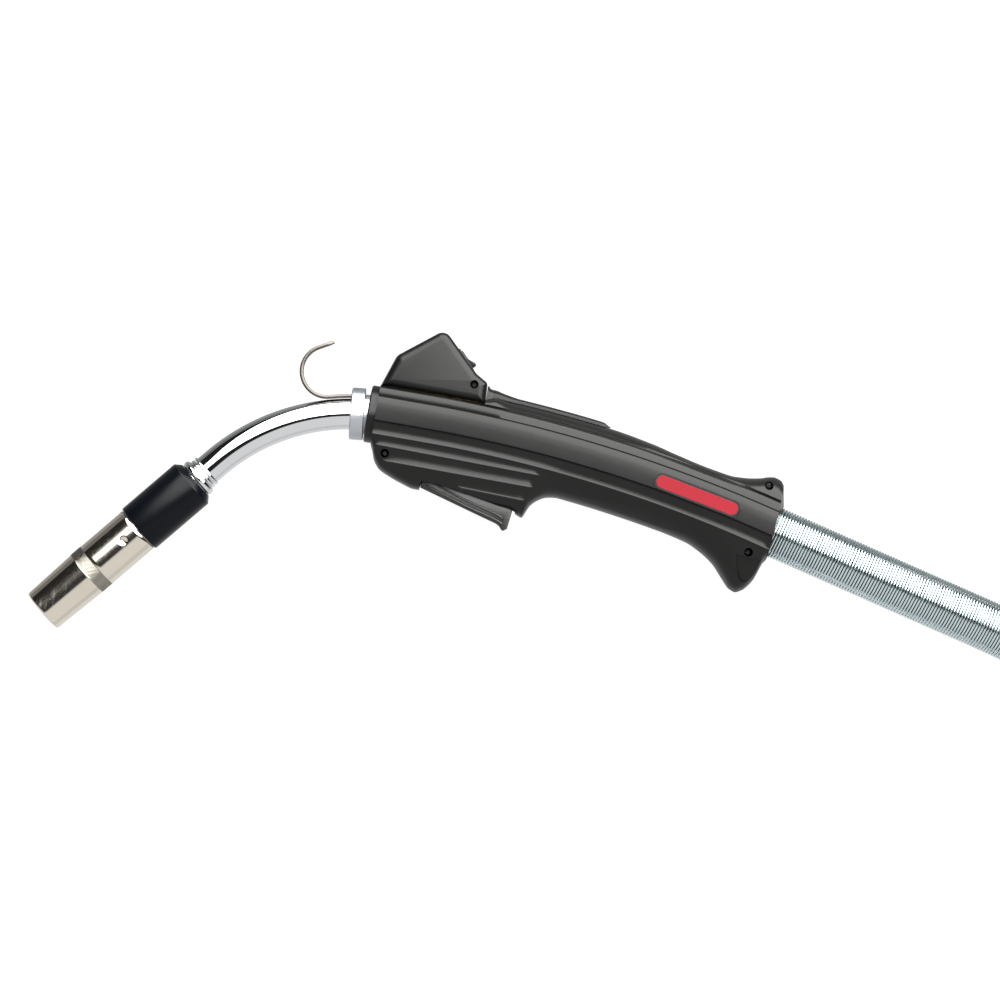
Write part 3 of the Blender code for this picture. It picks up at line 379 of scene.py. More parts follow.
def headings(points):
    """The direction of travel at each point of a route."""
    last = len(points) - 1
    return [(points[min(k + 1, last)] - points[max(k - 1, 0)]).normalized() for k in range(last + 1)]


def rings_along(points, radius, sides):
    """Circles square to a route that never runs along Z. radius is a number, or one for each point."""
    rings = []
    for k, (point, ahead) in enumerate(zip(points, headings(points), strict=True)):
        side = ahead.cross(Vector((0, 0, 1))).normalized()
        up = side.cross(ahead)
        reach = radius[k] if isinstance(radius, list) else radius
        turns = (math.tau * j / sides for j in range(sides))
        rings.append([point + reach * (math.cos(t) * side + math.sin(t) * up) for t in turns])
    return rings


def marks_along(points):
    marks = [0.0]
    for near, far in zip(points, points[1:], strict=False):
        marks.append(marks[-1] + (far - near).length)
    return marks


# Shader helpers and effects shared by several finishes


def shader_node(tree, kind, **values):
    node = tree.nodes.new(kind)
    for name, value in values.items():
        if name in node.inputs:
            node.inputs[name].default_value = value
        else:
            setattr(node, name, value)
    return node


def blank_group(name, inputs, outputs):
    """A shader group with number inputs and the outputs asked for."""
    group = bpy.data.node_groups.new(name, "ShaderNodeTree")
    for socket, value in inputs.items():
        made = group.interface.new_socket(socket, in_out="INPUT", socket_type="NodeSocketFloat")
        made.default_value = value
    for socket in outputs:
        group.interface.new_socket(socket, in_out="OUTPUT", socket_type="NodeSocketFloat")
    return group, group.nodes.new("NodeGroupInput"), group.nodes.new("NodeGroupOutput")


def build_grain_group():
    """Fine moulded or cast grain: a height for bump, and a slow mottle for colour and gloss."""
    inputs = {"Scale": 1500.0, "Mottle Scale": 60.0}
    group, inside, outside = blank_group("grain", inputs, ("Height", "Mottle"))
    place = shader_node(group, "ShaderNodeTexCoord")
    fine = shader_node(group, "ShaderNodeTexNoise", Detail=3.0, Roughness=0.6)
    slow = shader_node(group, "ShaderNodeTexNoise", Detail=4.0, Roughness=0.55)
    link = group.links.new
    link(place.outputs["Object"], fine.inputs["Vector"])
    link(place.outputs["Object"], slow.inputs["Vector"])
    link(inside.outputs["Scale"], fine.inputs["Scale"])
    link(inside.outputs["Mottle Scale"], slow.inputs["Scale"])
    link(fine.outputs["Fac"], outside.inputs["Height"])
    link(slow.outputs["Fac"], outside.inputs["Mottle"])


def build_scratch_group():
    """Hair-fine scuffs in two directions, as a mask."""
    group, inside, outside = blank_group("scuffs", {"Scale": 220.0, "Amount": 0.5}, ("Mask",))
    place = shader_node(group, "ShaderNodeTexCoord")
    masks = []
    stretched = (1.0, 0.05, 1.0)
    for turn in (0.4, 1.9):
        mapping = shader_node(group, "ShaderNodeMapping", Rotation=(0.3, 0.2, turn), Scale=stretched)
        noise = shader_node(group, "ShaderNodeTexNoise", Detail=2.0, Roughness=0.5)
        group.links.new(place.outputs["Object"], mapping.inputs["Vector"])
        group.links.new(mapping.outputs["Vector"], noise.inputs["Vector"])
        group.links.new(inside.outputs["Scale"], noise.inputs["Scale"])
        narrow = shader_node(group, "ShaderNodeMapRange", **{"From Min": 0.62, "From Max": 0.72})
        group.links.new(noise.outputs["Fac"], narrow.inputs["Value"])
        masks.append(narrow.outputs["Result"])
    most = shader_node(group, "ShaderNodeMath", operation="MAXIMUM")
    group.links.new(masks[0], most.inputs[0])
    group.links.new(masks[1], most.inputs[1])
    share = shader_node(group, "ShaderNodeMath", operation="MULTIPLY")
    group.links.new(most.outputs["Value"], share.inputs[0])
    group.links.new(inside.outputs["Amount"], share.inputs[1])
    group.links.new(share.outputs["Value"], outside.inputs["Mask"])


def use_group(tree, name, **values):
    node = tree.nodes.new("ShaderNodeGroup")
    node.node_tree = bpy.data.node_groups[name]
    for socket, value in values.items():
        node.inputs[socket.replace("_", " ")].default_value = value
    return node


def blank_finish(name, metallic=0.0, **sockets):
    """A finish with its constant values on the shader's own sockets."""
    finish = bpy.data.materials.new(f"{name}_finish")
    finish.use_nodes = True
    shader = finish.node_tree.nodes["Principled BSDF"]
    shader.inputs["Metallic"].default_value = metallic
    for socket, value in sockets.items():
        shader.inputs[socket.replace("_", " ")].default_value = value
    return finish, finish.node_tree, shader


def vary_colour(tree, shader, mask, low, high):
    mix = tree.nodes.new("ShaderNodeMix")
    mix.data_type = "RGBA"
    mix.inputs["A"].default_value = (*low, 1.0)
    mix.inputs["B"].default_value = (*high, 1.0)
    tree.links.new(mask, mix.inputs["Factor"])
    tree.links.new(mix.outputs["Result"], shader.inputs["Base Color"])


def vary_roughness(tree, shader, mask, low, high):
    spread = shader_node(tree, "ShaderNodeMapRange", **{"To Min": low, "To Max": high})
    tree.links.new(mask, spread.inputs["Value"])
    tree.links.new(spread.outputs["Result"], shader.inputs["Roughness"])


def raise_surface(tree, shader, height, distance, strength=1.0):
    bump = shader_node(tree, "ShaderNodeBump", Strength=strength, Distance=distance)
    tree.links.new(height, bump.inputs["Height"])
    tree.links.new(bump.outputs["Normal"], shader.inputs["Normal"])
    return bump


def moulded_finish(name, dark, light, gloss, grain=1500.0, depth=0.00003, **sockets):
    """Moulded plastic or rubber: spark-eroded grain, a slow mottle and faint scuffs."""
    finish, tree, shader = blank_finish(name, **sockets)
    texture = use_group(tree, "grain", Scale=grain, Mottle_Scale=45.0)
    scuffs = use_group(tree, "scuffs", Scale=260.0, Amount=0.35)
    both = shader_node(tree, "ShaderNodeMath", operation="MAXIMUM")
    tree.links.new(texture.outputs["Mottle"], both.inputs[0])
    tree.links.new(scuffs.outputs["Mask"], both.inputs[1])
    vary_colour(tree, shader, both.outputs["Value"], dark, light)
    vary_roughness(tree, shader, texture.outputs["Mottle"], gloss - 0.05, gloss + 0.06)
    raise_surface(tree, shader, texture.outputs["Height"], depth)
    return finish


def metal_finish(name, dark, light, gloss, spread=0.05, mottle=90.0, depth=0.00001, **sockets):
    """Plated or bare metal: slight tint changes, scuffs in the gloss and a trace of unevenness."""
    finish, tree, shader = blank_finish(name, metallic=1.0, **sockets)
    texture = use_group(tree, "grain", Scale=400.0, Mottle_Scale=mottle)
    scuffs = use_group(tree, "scuffs", Scale=420.0, Amount=0.6)
    vary_colour(tree, shader, texture.outputs["Mottle"], dark, light)
    vary_roughness(tree, shader, scuffs.outputs["Mask"], gloss, gloss + spread)
    raise_surface(tree, shader, texture.outputs["Height"], depth)
    return finish


def turned_finish(name, dark, light, gloss, pitch, axis):
    """Metal with the fine rings that a lathe leaves across an axis."""
    finish = metal_finish(name, dark, light, gloss, 0.08)
    tree = finish.node_tree
    shader = tree.nodes["Principled BSDF"]
    place = shader_node(tree, "ShaderNodeTexCoord")
    along = shader_node(tree, "ShaderNodeVectorMath", operation="DOT_PRODUCT")
    along.inputs[1].default_value = axis
    rings = shader_node(tree, "ShaderNodeMath", operation="MULTIPLY")
    rings.inputs[1].default_value = math.tau / pitch
    wave = shader_node(tree, "ShaderNodeMath", operation="SINE")
    tree.links.new(place.outputs["Object"], along.inputs[0])
    tree.links.new(along.outputs["Value"], rings.inputs[0])
    tree.links.new(rings.outputs["Value"], wave.inputs[0])
    raise_surface(tree, shader, wave.outputs["Value"], 0.000006)


def tint(colour, share=1.0):
    return tuple(value * share for value in colour)


def grey(value):
    return (value, value, value)


def build_finishes(colours):
    """Every finish, named for the slot or the use that it has."""
    black, red, nickel = colours.plastic_black, colours.label_red, colours.nickel_warm
    fine = 0.000012
    satin = {"Specular_IOR_Level": 0.25, "depth": fine}
    dull = {"Specular_IOR_Level": 0.2, "depth": 0.00008}
    deep = {"Specular_IOR_Level": 0.12}
    printed = {"Specular_IOR_Level": 0.08, "depth": 0.000006}
    moulded_finish("handle", tint(black), tint(black, 1.5), 0.31, 1300.0, **satin)
    moulded_finish("trigger", tint(black, 3.0), tint(black, 4.5), 0.28, depth=fine)
    moulded_finish("insulator", (0.0008, 0.0011, 0.0018), (0.0016, 0.0022, 0.0034), 0.22, **deep)
    moulded_finish("connector_plastic", grey(0.004), grey(0.006), 0.45, **satin)
    moulded_finish("switch_plastic", grey(0.006), grey(0.010), 0.42, **satin)
    moulded_finish("button", grey(0.0022), grey(0.004), 0.30, 900.0, **satin)
    moulded_finish("rubber", grey(0.003), grey(0.006), 0.58, 700.0, **dull)
    moulded_finish("label", tint(red, 0.9), tint(red), 0.45, 900.0, **printed)
    metal_finish("chrome", (0.62, 0.64, 0.66), (0.72, 0.73, 0.74), 0.035, 0.06, 25.0, 0.000002)
    metal_finish("nickel", tint(nickel, 0.88), tint(nickel), 0.10, 0.10, 40.0, 0.000004)
    # The knurled band's nickel is tinted about a third as bright as the plain nickel: painted shade of
    # the knurl's grooves.
    metal_finish("knurl_painted_shade_nickel", tint(nickel, 0.32), tint(nickel, 0.45), 0.24)
    metal_finish("hook", (0.07, 0.062, 0.054), (0.12, 0.11, 0.10), 0.24, 0.10, 120.0)
    metal_finish("zinc", (0.52, 0.61, 0.63), (0.66, 0.74, 0.76), 0.18, 0.12, 160.0)
    metal_finish("screw", grey(0.012), grey(0.03), 0.40, 0.10, 300.0)
    metal_finish("strand_copper", (0.62, 0.30, 0.18), (0.72, 0.38, 0.24), 0.30, 0.10, 200.0)
    turned_finish("collar", (0.38, 0.40, 0.43), (0.48, 0.50, 0.53), 0.34, 0.00045, (1.0, 0.1, 0.0))
    turned_finish("brass", (0.56, 0.38, 0.14), (0.66, 0.47, 0.20), 0.22, 0.00050, (1.0, 0.0, 0.0))
    turned_finish("copper", (0.62, 0.30, 0.18), (0.74, 0.40, 0.26), 0.20, 0.00045, FORWARD)


def refinish_nodes():
    """Gives every CAD node that stays in sight, or inside, its procedural finish."""
    for finish, nodes in KEPT_NODES.items():
        for name in nodes:
            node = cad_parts[name]
            node.data.materials.clear()
            node.data.materials.append(finish_called(finish))


KEPT_NODES = {
    "zinc": ("neck_liner", "trigger_pin", "trigger_spring", "spring_clamp", "nozzle_retaining_ring"),
    "brass": ("neck_block",),
    "copper": ("cable_terminal", "gas_diffuser"),
    "strand_copper": ("power_conductor",),
    "rubber": ("control_lead", "o_ring_front", "o_ring_rear"),
    "switch_plastic": ("microswitch",),
    "button": ("switch_plunger",),
}


# Reference lines


def spine(x):
    """Height and slope angle of the handle's spine line at x."""
    if x <= BEND_START:
        return 0.0, 0.0
    reach = min(x - BEND_START, SPINE_RADIUS * math.sin(SPINE_BEND))
    angle = math.asin(reach / SPINE_RADIUS)
    beyond = x - BEND_START - reach
    return -SPINE_RADIUS * (1 - math.cos(angle)) - beyond * math.tan(angle), angle


def neck_point(angle, offset=0.0):
    reach = NECK_BEND_RADIUS + offset
    return Vector((-reach * math.sin(angle), reach * math.cos(angle) - NECK_BEND_RADIUS, MID_Z))


FORWARD = Vector((-math.cos(NECK_BEND), -math.sin(NECK_BEND), 0.0))
REAR_AXIS = Vector((math.cos(SPINE_BEND), -math.sin(SPINE_BEND), 0.0))


def front_place():
    return aim(neck_point(NECK_BEND), FORWARD)


def reach_of(node):
    """How far forwards along the front end's axis a turned node starts and ends."""
    reaches = [(v.co - neck_point(NECK_BEND)).dot(FORWARD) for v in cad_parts[node].data.vertices]
    return min(reaches), max(reaches)


# Handle

END_POINTS = 11
FLARE_LENGTH = 0.0428
WALL = 0.0022
FLARE_WALL = 0.0024  # what the wall gains behind the flare's recess
NOSE_RADIUS = 0.0149
NOSE_BORE = 0.0111
SCREW_WELL = 0.00225
SLOT_HALF = 0.0078


def squareness(x, high):
    if high:
        return flow(x, ((SEAT_REAR - 0.002, 6.0), (SEAT_REAR + 0.014, 2.5)))
    return flow(x, ((LIP_X - 0.002, 4.0), (LIP_X + 0.018, 2.4)))


def fade(value, low, high, width):
    """1 between low and high, falling smoothly to 0 over width outside them."""
    rise = min(1.0, max(0.0, (value - low + width) / width))
    fall = min(1.0, max(0.0, (high + width - value) / width))
    share = min(rise, fall)
    return share * share * (3 - 2 * share)


def side_lines(x, sizes):
    """The grooves and ribs on the side at x: (height over the spine, half width, depth, bevel)."""
    axis = spine(x)[0]
    along = (x + 0.004) / 0.085
    deep, wide = sizes.groove_depth, sizes.groove_width / 2
    rib, thin = sizes.rib_height, sizes.rib_width / 2
    upper = fade(x, -0.004, 0.081, 0.003)
    middle = fade(x, -0.0005, 0.079, 0.003)
    lower = fade(x, 0.044, 0.077, 0.002)
    return (
        (0.0150, wide, deep),
        (BAND_TOP, thin * 0.8, deep * 0.45),
        (BAND_BOTTOM, wide, deep),
        (-0.0095, thin, -rib),
        (-0.0148 - 0.0013 * along - axis, thin, -rib * upper),
        (-0.0223 - 0.0006 * along - axis, thin, -rib * middle),
        (-0.0293 - 0.0009 * (x - 0.044) / 0.033 - axis, thin, -rib * lower),
    )


def line_shape(offset, half):
    """A line's rounded cross-section."""
    reach = min(1.0, abs(offset) / (1.35 * half))
    return math.cos(math.pi / 2 * reach) ** 1.5


def section_heights(depth, lines):
    """The heights at which the handle's outer section has a point: crowded at its lines."""
    spread = (1.35, 1.0, 0.65, 0.0, -0.65, -1.0, -1.35)
    high, low = [], []
    for centre, half, _ in lines[:2]:
        high += [centre + s * half for s in spread]
    high += [0.0127, 0.0062, 0.0030]
    limits = (None, None, (0.06, 0.45), (0.26, 0.66), (0.48, 0.86))
    room = depth - 0.0103
    for (centre, half, _), limit in zip(lines[2:], limits, strict=True):
        if limit is None:
            low += [centre + s * half for s in spread]
            continue
        depth_here = max(0.0103 + room * limit[0], min(-centre, 0.0103 + room * limit[1]))
        step = min(half, room * 0.04)
        low += [-depth_here + s * step for s in spread]
    low += [-0.0062]
    return sorted(high, reverse=True), sorted(low, reverse=True)


def rounded_end(level, reach, power, nearest):
    """The section's end past its line nearest to it, as (height, width) from the end inwards."""
    start = math.asin(min(0.98, ((nearest - level) / reach) ** (power / 2)))
    points = []
    for k in range(END_POINTS):
        turn = math.pi / 2 + (start - math.pi / 2) * k / END_POINTS
        across = HALF_WIDTH * max(0.0, math.cos(turn)) ** (2 / power)
        points.append((level + reach * math.sin(turn) ** (2 / power), across))
    return points


def side_points(heights, level, reach, power):
    """The section's (height, width) at each height between the flat band and its end."""
    points = []
    for height in heights:
        share = max(0.0, (height - level) / reach)
        points.append((height, HALF_WIDTH * max(0.0, 1 - share**power) ** (1 / power)))
    return points


def outer_section(x, side, sizes, inset=0.0):
    """Half of the handle's section at x as points from its top to its bottom."""
    axis, slope = spine(x)
    lean = REAR_TILT * max(0.0, (x - FLARE_X) / FLARE_LENGTH)
    depth = flow(x, BOTTOM_SIDES)
    floor = -flow(x, BOTTOM_LINE)
    lines = side_lines(x, sizes)
    high, low = section_heights(depth, lines)
    upper = (BAND_TOP, flow(x, TOP_LINE) - BAND_TOP, squareness(x, True))
    lower = (BAND_BOTTOM, -depth - BAND_BOTTOM, squareness(x, False))
    points = rounded_end(*upper, high[0]) + side_points(high, *upper)
    points += side_points(low, *lower) + rounded_end(*lower, low[-1])[::-1]
    ring = []
    for height, across in points:
        below = fade(height, -1.0, BAND_BOTTOM - 0.0010, 0.0004)
        sunk = below * sizes.rib_height + inset + crown(height)
        if inset:
            sunk += FLARE_WALL * fade(x, 0.189, 0.206, 0.002) * fade(height, -1.0, -0.0175, 0.0020)
        for centre, half, amount in lines:
            sunk += amount * line_shape(height - centre, half)
        y = axis + max(height, floor) * (1.0 - inset / depth) / math.cos(slope)
        z = MID_Z + side * max(across - sunk * min(1.0, across / 0.004), HAIR / 2)
        ring.append(Vector((x + lean * (y - axis), y, z)))
    return ring


def crown(height):
    """How far the side falls away from flat: gently domed above, leaning in below."""
    if height >= BAND_BOTTOM:
        return min(0.0011, 0.00035 * ((height - 0.0035) / 0.0065) ** 2)
    down = BAND_BOTTOM - height
    return 0.00035 + 0.10 * min(down, 0.012) + 0.03 * max(0.0, down - 0.012)


def circle_section(count, centre, along, radius, side):
    """Half a circle with as many points as a section, square to a direction in the side plane."""
    up = Vector((-along.y, along.x, 0.0))
    ring = []
    for k in range(count):
        turn = math.pi * k / (count - 1)
        out = max(radius * math.sin(turn), HAIR / 2)
        ring.append(centre + up * radius * math.cos(turn) + Vector((0, 0, side * out)))
    return ring


def handle_stations(step):
    """Where the handle's sections stand: evenly, and at each point of its outlines."""
    wanted = [x for x, _ in TOP_LINE] + [x for x, _ in BOTTOM_LINE]
    count = round((HANDLE_REAR - HANDLE_FRONT) / step)
    wanted += [HANDLE_FRONT + (HANDLE_REAR - HANDLE_FRONT) * k / count for k in range(count + 1)]
    kept = []
    for x in sorted(wanted):
        if not kept or x - kept[-1] > 0.0003:
            kept.append(x)
    return kept


def build_handle_half(name, side, sizes):
    """One shell as a closed wall: its outer skin, its end walls and its inner skin."""
    stations = handle_stations(sizes.section_step)
    skins = [outer_section(x, side, sizes) for x in stations]
    count = len(skins[0])
    nose = Vector((1.0, 0.0, 0.0))
    rear_centre = Vector((HANDLE_REAR, spine(HANDLE_REAR)[0], MID_Z))
    axis_y = 0.0003

    def at_nose(x, radius):
        return circle_section(count, Vector((x, axis_y, MID_Z)), nose, radius, side)

    def at_rear(back, radius):
        return circle_section(count, rear_centre - back * REAR_AXIS, REAR_AXIS, radius, side)

    outer = [at_nose(NOSE_FRONT, NOSE_BORE), at_nose(NOSE_FRONT, NOSE_RADIUS - 0.0007)]
    outer += [at_nose(NOSE_FRONT + 0.0007, NOSE_RADIUS), at_nose(HANDLE_FRONT - 0.0002, NOSE_RADIUS)]
    outer += [blend_rings(outer[-1], skins[0], 0.9), *skins]
    outer += [blend_rings(at_rear(-0.0002, 0.0138), skins[-1], 0.9)]
    outer += [at_rear(-0.0002, 0.0145), at_rear(0.0, 0.0138)]
    inner = [at_nose(NOSE_FRONT + 0.0030, NOSE_BORE)]
    inner += [at_nose(HANDLE_FRONT + WALL, NOSE_BORE + 0.0002 * k) for k in range(1, 5)]
    low, high = stations[0] + WALL, stations[-1] - WALL
    inner += [outer_section(min(max(x, low), high), side, PLAIN_SIDES, WALL) for x in stations]
    inner += [at_rear(WALL, radius) for radius in (0.0143, 0.0140, 0.0138)]
    loops = [near + far[::-1] for near, far in zip(outer, inner, strict=True)]
    return loft(name, loops)


def blend_rings(near, far, share):
    return [a.lerp(b, share) for a, b in zip(near, far, strict=True)]


class PLAIN_SIDES:
    """Side lines of no depth, for the inner skin."""

    groove_depth = 0.0
    groove_width = 0.0011
    rib_height = 0.0
    rib_width = 0.0008


# Outline of the flat recess in the flare, from its own corner
FLARE_RECESS = (
    (-0.0093, -0.0001, 0.0005),
    (-0.0074, -0.0090, 0.0030),
    (-0.0045, -0.0150, 0.0020),
    (-0.0012, -0.0150, 0.0020),
    (0.0022, -0.0100, 0.0030),
    (0.0062, -0.0022, 0.0005),
    (0.0060, -0.0012, 0.0003),
)


def screw_seat(node):
    """The middle and the head's height of a screw's CAD node."""
    low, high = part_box(node)
    return Vector(((low.x + high.x) / 2, (low.y + high.y) / 2, high.z))


def capsule(length, height, count=20):
    straight = (length - height) / 2
    points = []
    for end in (1, -1):
        for k in range(count + 1):
            turn = end * math.pi / 2 - math.pi * k / count
            points.append((end * straight + height / 2 * math.cos(turn), height / 2 * math.sin(turn)))
    return points


def label_place():
    low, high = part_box("label_plate")
    middle = (low + high) / 2
    slope = spine(middle.x)[1]
    return Matrix.Translation((middle.x, middle.y, 0.0)) @ Matrix.Rotation(-slope, 4, "Z")


def rounded_outline(corners, count=8):
    """An outline of (x, y, radius) corners with round ones drawn as arcs."""
    outline = []
    total = len(corners)
    for k in range(total):
        before, here, after = (Vector(corners[(k + j) % total][:2]) for j in (-1, 0, 1))
        to_before, to_after = (before - here).normalized(), (after - here).normalized()
        half = to_before.angle(to_after) / 2
        back = corners[k][2] / math.tan(half)
        centre = here + (to_before + to_after).normalized() * (corners[k][2] / math.sin(half))
        start, end = here + to_before * back - centre, here + to_after * back - centre
        for j in range(count + 1):
            swing = start.lerp(end, j / count).normalized() * corners[k][2]
            outline.append(tuple(centre + swing))
    return outline


def scene_sizes():
    return bpy.context.scene.torch_sizes


def sink_well(shell, node):
    """Cuts the round well that a screw's head stands in."""
    seat = screw_seat(node)
    foot, over = (seat.x, seat.y, seat.z - 0.0019), (seat.x, seat.y, 2 * MID_Z + 0.004)
    return cut(shell, drum("well", SCREW_WELL, foot, over, 40))


class TORCH_OT_handle(bpy.types.Operator):
    """Builds the two handle shells with their grooves, ribs, slot and screw wells"""

    bl_idname = "torch.handle"
    bl_label = "Handle shells"

    def execute(self, context):
        sizes = scene_sizes()
        left = build_handle_half("handle_shell_left", 1, sizes)
        right = build_handle_half("handle_shell_right", -1, sizes)
        for shell in (left, right):
            low, high = (0.0240, -0.060, MID_Z - SLOT_HALF), (0.0748, -0.0215, MID_Z + SLOT_HALF)
            cut(shell, box_of("slot", low, high))
            seat = ((-0.0050, 0.01565), (0.04993, 0.01510), (0.04993, 0.0300), (-0.0050, 0.0300))
            cut(shell, extrude_outline("seat", seat, -0.002, 0.042))
            if shell is left:
                place = Matrix.Translation((0.2, -0.038, MID_Z + 0.0145))
                place = place @ Matrix.Rotation(0.405, 4, "X")
                recess = rounded_outline(FLARE_RECESS, 6)
                cut(shell, extrude_outline("recess", recess, 0.0, 0.008, place))
        for node in HANDLE_SCREWS:
            sink_well(left, node)
        top = 2 * MID_Z
        outline = capsule(sizes.label_length + 2 * HAIR, sizes.label_height + 2 * HAIR)
        cut(left, extrude_outline("pocket", outline, top - 0.0010, top + 0.002, label_place()))
        hand_over(left, "handle", "handle", ["handle_left_shell"], 40.0)
        hand_over(right, "handle", "handle", ["handle_right_shell"], 40.0)
        return {"FINISHED"}


def shrunk_corners(corners, inset):
    """Corners of a clockwise outline whose sides all stand further in, with rounding to match."""
    moved = []
    total = len(corners)
    for k in range(total):
        before, here, after = (Vector(corners[(k + j) % total][:2]) for j in (-1, 0, 1))
        to_before, to_after = (before - here).normalized(), (after - here).normalized()
        turn = 1 if to_before.cross(to_after) > 0 else -1
        step = turn * inset
        between = (to_before + to_after).normalized()
        spot = here + between * (step / math.sin(to_before.angle(to_after) / 2))
        moved.append((*spot, max(corners[k][2] - step, 0.0003)))
    return moved


def build_housing_half(name, side):
    half = span("switch_housing_left", 2)[1] - MID_Z
    rim = scene_sizes().housing_rim
    loops = [[(x, y, MID_Z + side * HAIR / 2) for x, y in rounded_outline(HOUSING_CORNERS)]]
    for k in range(9):
        swing = math.pi / 2 * k / 8
        inset, back = rim * (1 - math.cos(swing)), rim * (1 - math.sin(swing))
        outline = rounded_outline(shrunk_corners(HOUSING_CORNERS, inset))
        loops.append([(x, y, MID_Z + side * (half - back)) for x, y in outline])
    body = loft(name, loops)
    low, high = sorted((MID_Z - side * 0.001, MID_Z + side * (half - 0.0026)))
    cut(body, extrude_outline("room", HOUSING_ROOM, low, high))
    base_low, base_high = rocker_opening(HAIR)
    cut(body, box_of("rocker_way", base_low, base_high, rocker_place()))
    return body


HOUSING_ROOM = (
    (-0.0008, 0.0160),
    (-0.0008, 0.0215),
    (0.0040, 0.0308),
    (0.0228, 0.0448),
    (0.0350, 0.0320),
    (0.0350, 0.0160),
)


ROCKER_AT = (0.0366, 0.0364)
ROCKER_SLOPE = math.radians(-46.9)
ROCKER_HALF = (0.0055, 0.0043)


def rocker_place():
    """X runs down the housing's rear slope, Y out of it."""
    return Matrix.Translation((*ROCKER_AT, MID_Z)) @ Matrix.Rotation(ROCKER_SLOPE, 4, "Z")


def rocker_opening(margin, depth=0.0083, out=0.010):
    length, width = (half + HAIR + 0.001 + margin for half in ROCKER_HALF)
    return (-length, -depth, -width), (length, out, width)


class TORCH_OT_housing(bpy.types.Operator):
    """Builds the switch housing on top of the handle, in two halves, and the strip behind it"""

    bl_idname = "torch.housing"
    bl_label = "Switch housing"

    def execute(self, context):
        left = sink_well(build_housing_half("housing_shell_left", 1), "housing_screw")
        right = build_housing_half("housing_shell_right", -1)
        hand_over(left, "handle", "handle", ["switch_housing_left"])
        hand_over(right, "handle", "handle", ["switch_housing_right"])
        build_strip()
        return {"FINISHED"}


def top_at(x, z):
    """Height of the handle's top over its spine, z from its middle."""
    power = squareness(x, True)
    rise = flow(x, TOP_LINE) - BAND_TOP
    return BAND_TOP + rise * (1 - (abs(z) / HALF_WIDTH) ** power) ** (1 / power)


def build_strip():
    """The cover strip over the parting line, with a rounded top and a run-out at its rear."""
    front, rear = SEAT_REAR - 0.00005, span("spine_strip", 0)[1]
    rises = (
        (front, 0.0072),
        (front + 0.002, 0.0052),
        (front + 0.006, 0.0034),
        (front + 0.010, 0.0026),
        (front + 0.018, 0.0018),
        (rear - 0.004, 0.0016),
        (rear, 0.0001),
    )
    halves = (
        (front, 0.0105),
        (front + 0.008, 0.0080),
        (front + 0.018, 0.0062),
        (rear - 0.003, 0.0062),
        (rear, 0.0040),
    )
    loops = []
    count = 64
    for k in range(count + 1):
        x = front + (rear - front) * (k / count) ** 1.5
        axis, slope = spine(x)
        rise, half = flow(x, rises), flow(x, halves)
        arc = [math.pi * (1 - j / 14) for j in range(15)]
        loop = []
        for turn in arc:
            z = half * math.cos(turn)
            lift = 0.0003 + rise * math.sin(turn) ** 0.45 if 0 < turn < math.pi else 0.0003
            loop.append(Vector((x, axis + (top_at(x, z) + HAIR + lift) / math.cos(slope), MID_Z + z)))
        for j in range(7):
            z = half * (1 - j / 3)
            loop.append(Vector((x, axis + (top_at(x, z) + HAIR) / math.cos(slope), MID_Z + z)))
        loops.append(loop)
    hand_over(loft("cover_strip", loops), "handle", "handle", ["spine_strip"])


class TORCH_OT_screws(bpy.types.Operator):
    """Builds the sunk cross-head screws"""

    bl_idname = "torch.screws"
    bl_label = "Screws"

    def execute(self, context):
        for node in (*HANDLE_SCREWS, "housing_screw"):
            head = screw_seat(node)
            down = head.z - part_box(node)[0].z
            profile = (
                (0.0, 0.0),
                (0.0, -down),
                (0.0011, -down),
                (0.0011, -0.0019),
                (0.0020, -0.0018),
                (0.0020, -0.0009),
                (0.0016, -0.0003),
                (0.0008, 0.0),
            )
            screw = lathe(f"{node}_detail", profile, Matrix.Translation(head), 40)
            for turn in (0.35, 0.35 + math.pi / 2):
                place = Matrix.Translation(head) @ Matrix.Rotation(turn, 4, "Z")
                low, high = (-0.0012, -0.00025, -0.0011), (0.0012, 0.00025, 0.001)
                cut(screw, box_of("cross", low, high, place))
            hand_over(screw, "handle", "screw", [node])
        return {"FINISHED"}


class TORCH_OT_label(bpy.types.Operator):
    """Builds the plain red capsule plate with its dark rim"""

    bl_idname = "torch.label"
    bl_label = "Label plate"

    def execute(self, context):
        sizes = scene_sizes()
        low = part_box("label_plate")[0].z
        top = 2 * MID_Z
        outline = capsule(sizes.label_length, sizes.label_height)
        rim = extrude_outline("label_rim", outline, low, top - 0.0001)
        outline = capsule(sizes.label_length - 0.0014, sizes.label_height - 0.0014)
        face = extrude_outline("label_face", outline, top - 0.00008, top + 0.0002)
        round_edges(face, 0.00015, 3)
        rim.data.materials.append(finish_called("button"))
        face.data.materials.append(finish_called("label"))
        plate = settle(join([face, rim], "label_capsule"), label_place())
        hand_over(plate, "handle", ["label", "button"], ["label_plate"], 15.0)
        return {"FINISHED"}


TRIGGER_PIN = (0.0285, -0.0245)
TRIGGER_CORNERS = (
    (0.02432, -0.0276, 0.0010),
    (0.02432, -0.0329, 0.0004),
    (0.0474, -0.0394, 0.0300),
    (0.0672, -0.0449, 0.0060),
    (0.0700, -0.0479, 0.0009),
    (0.0722, -0.0462, 0.0012),
    (0.0735, -0.0352, 0.0006),
    (0.0440, -0.0278, 0.0010),
    (0.0360, -0.0278, 0.0010),
    (0.0318, -0.0214, 0.0012),
    (0.0262, -0.0208, 0.0020),
)


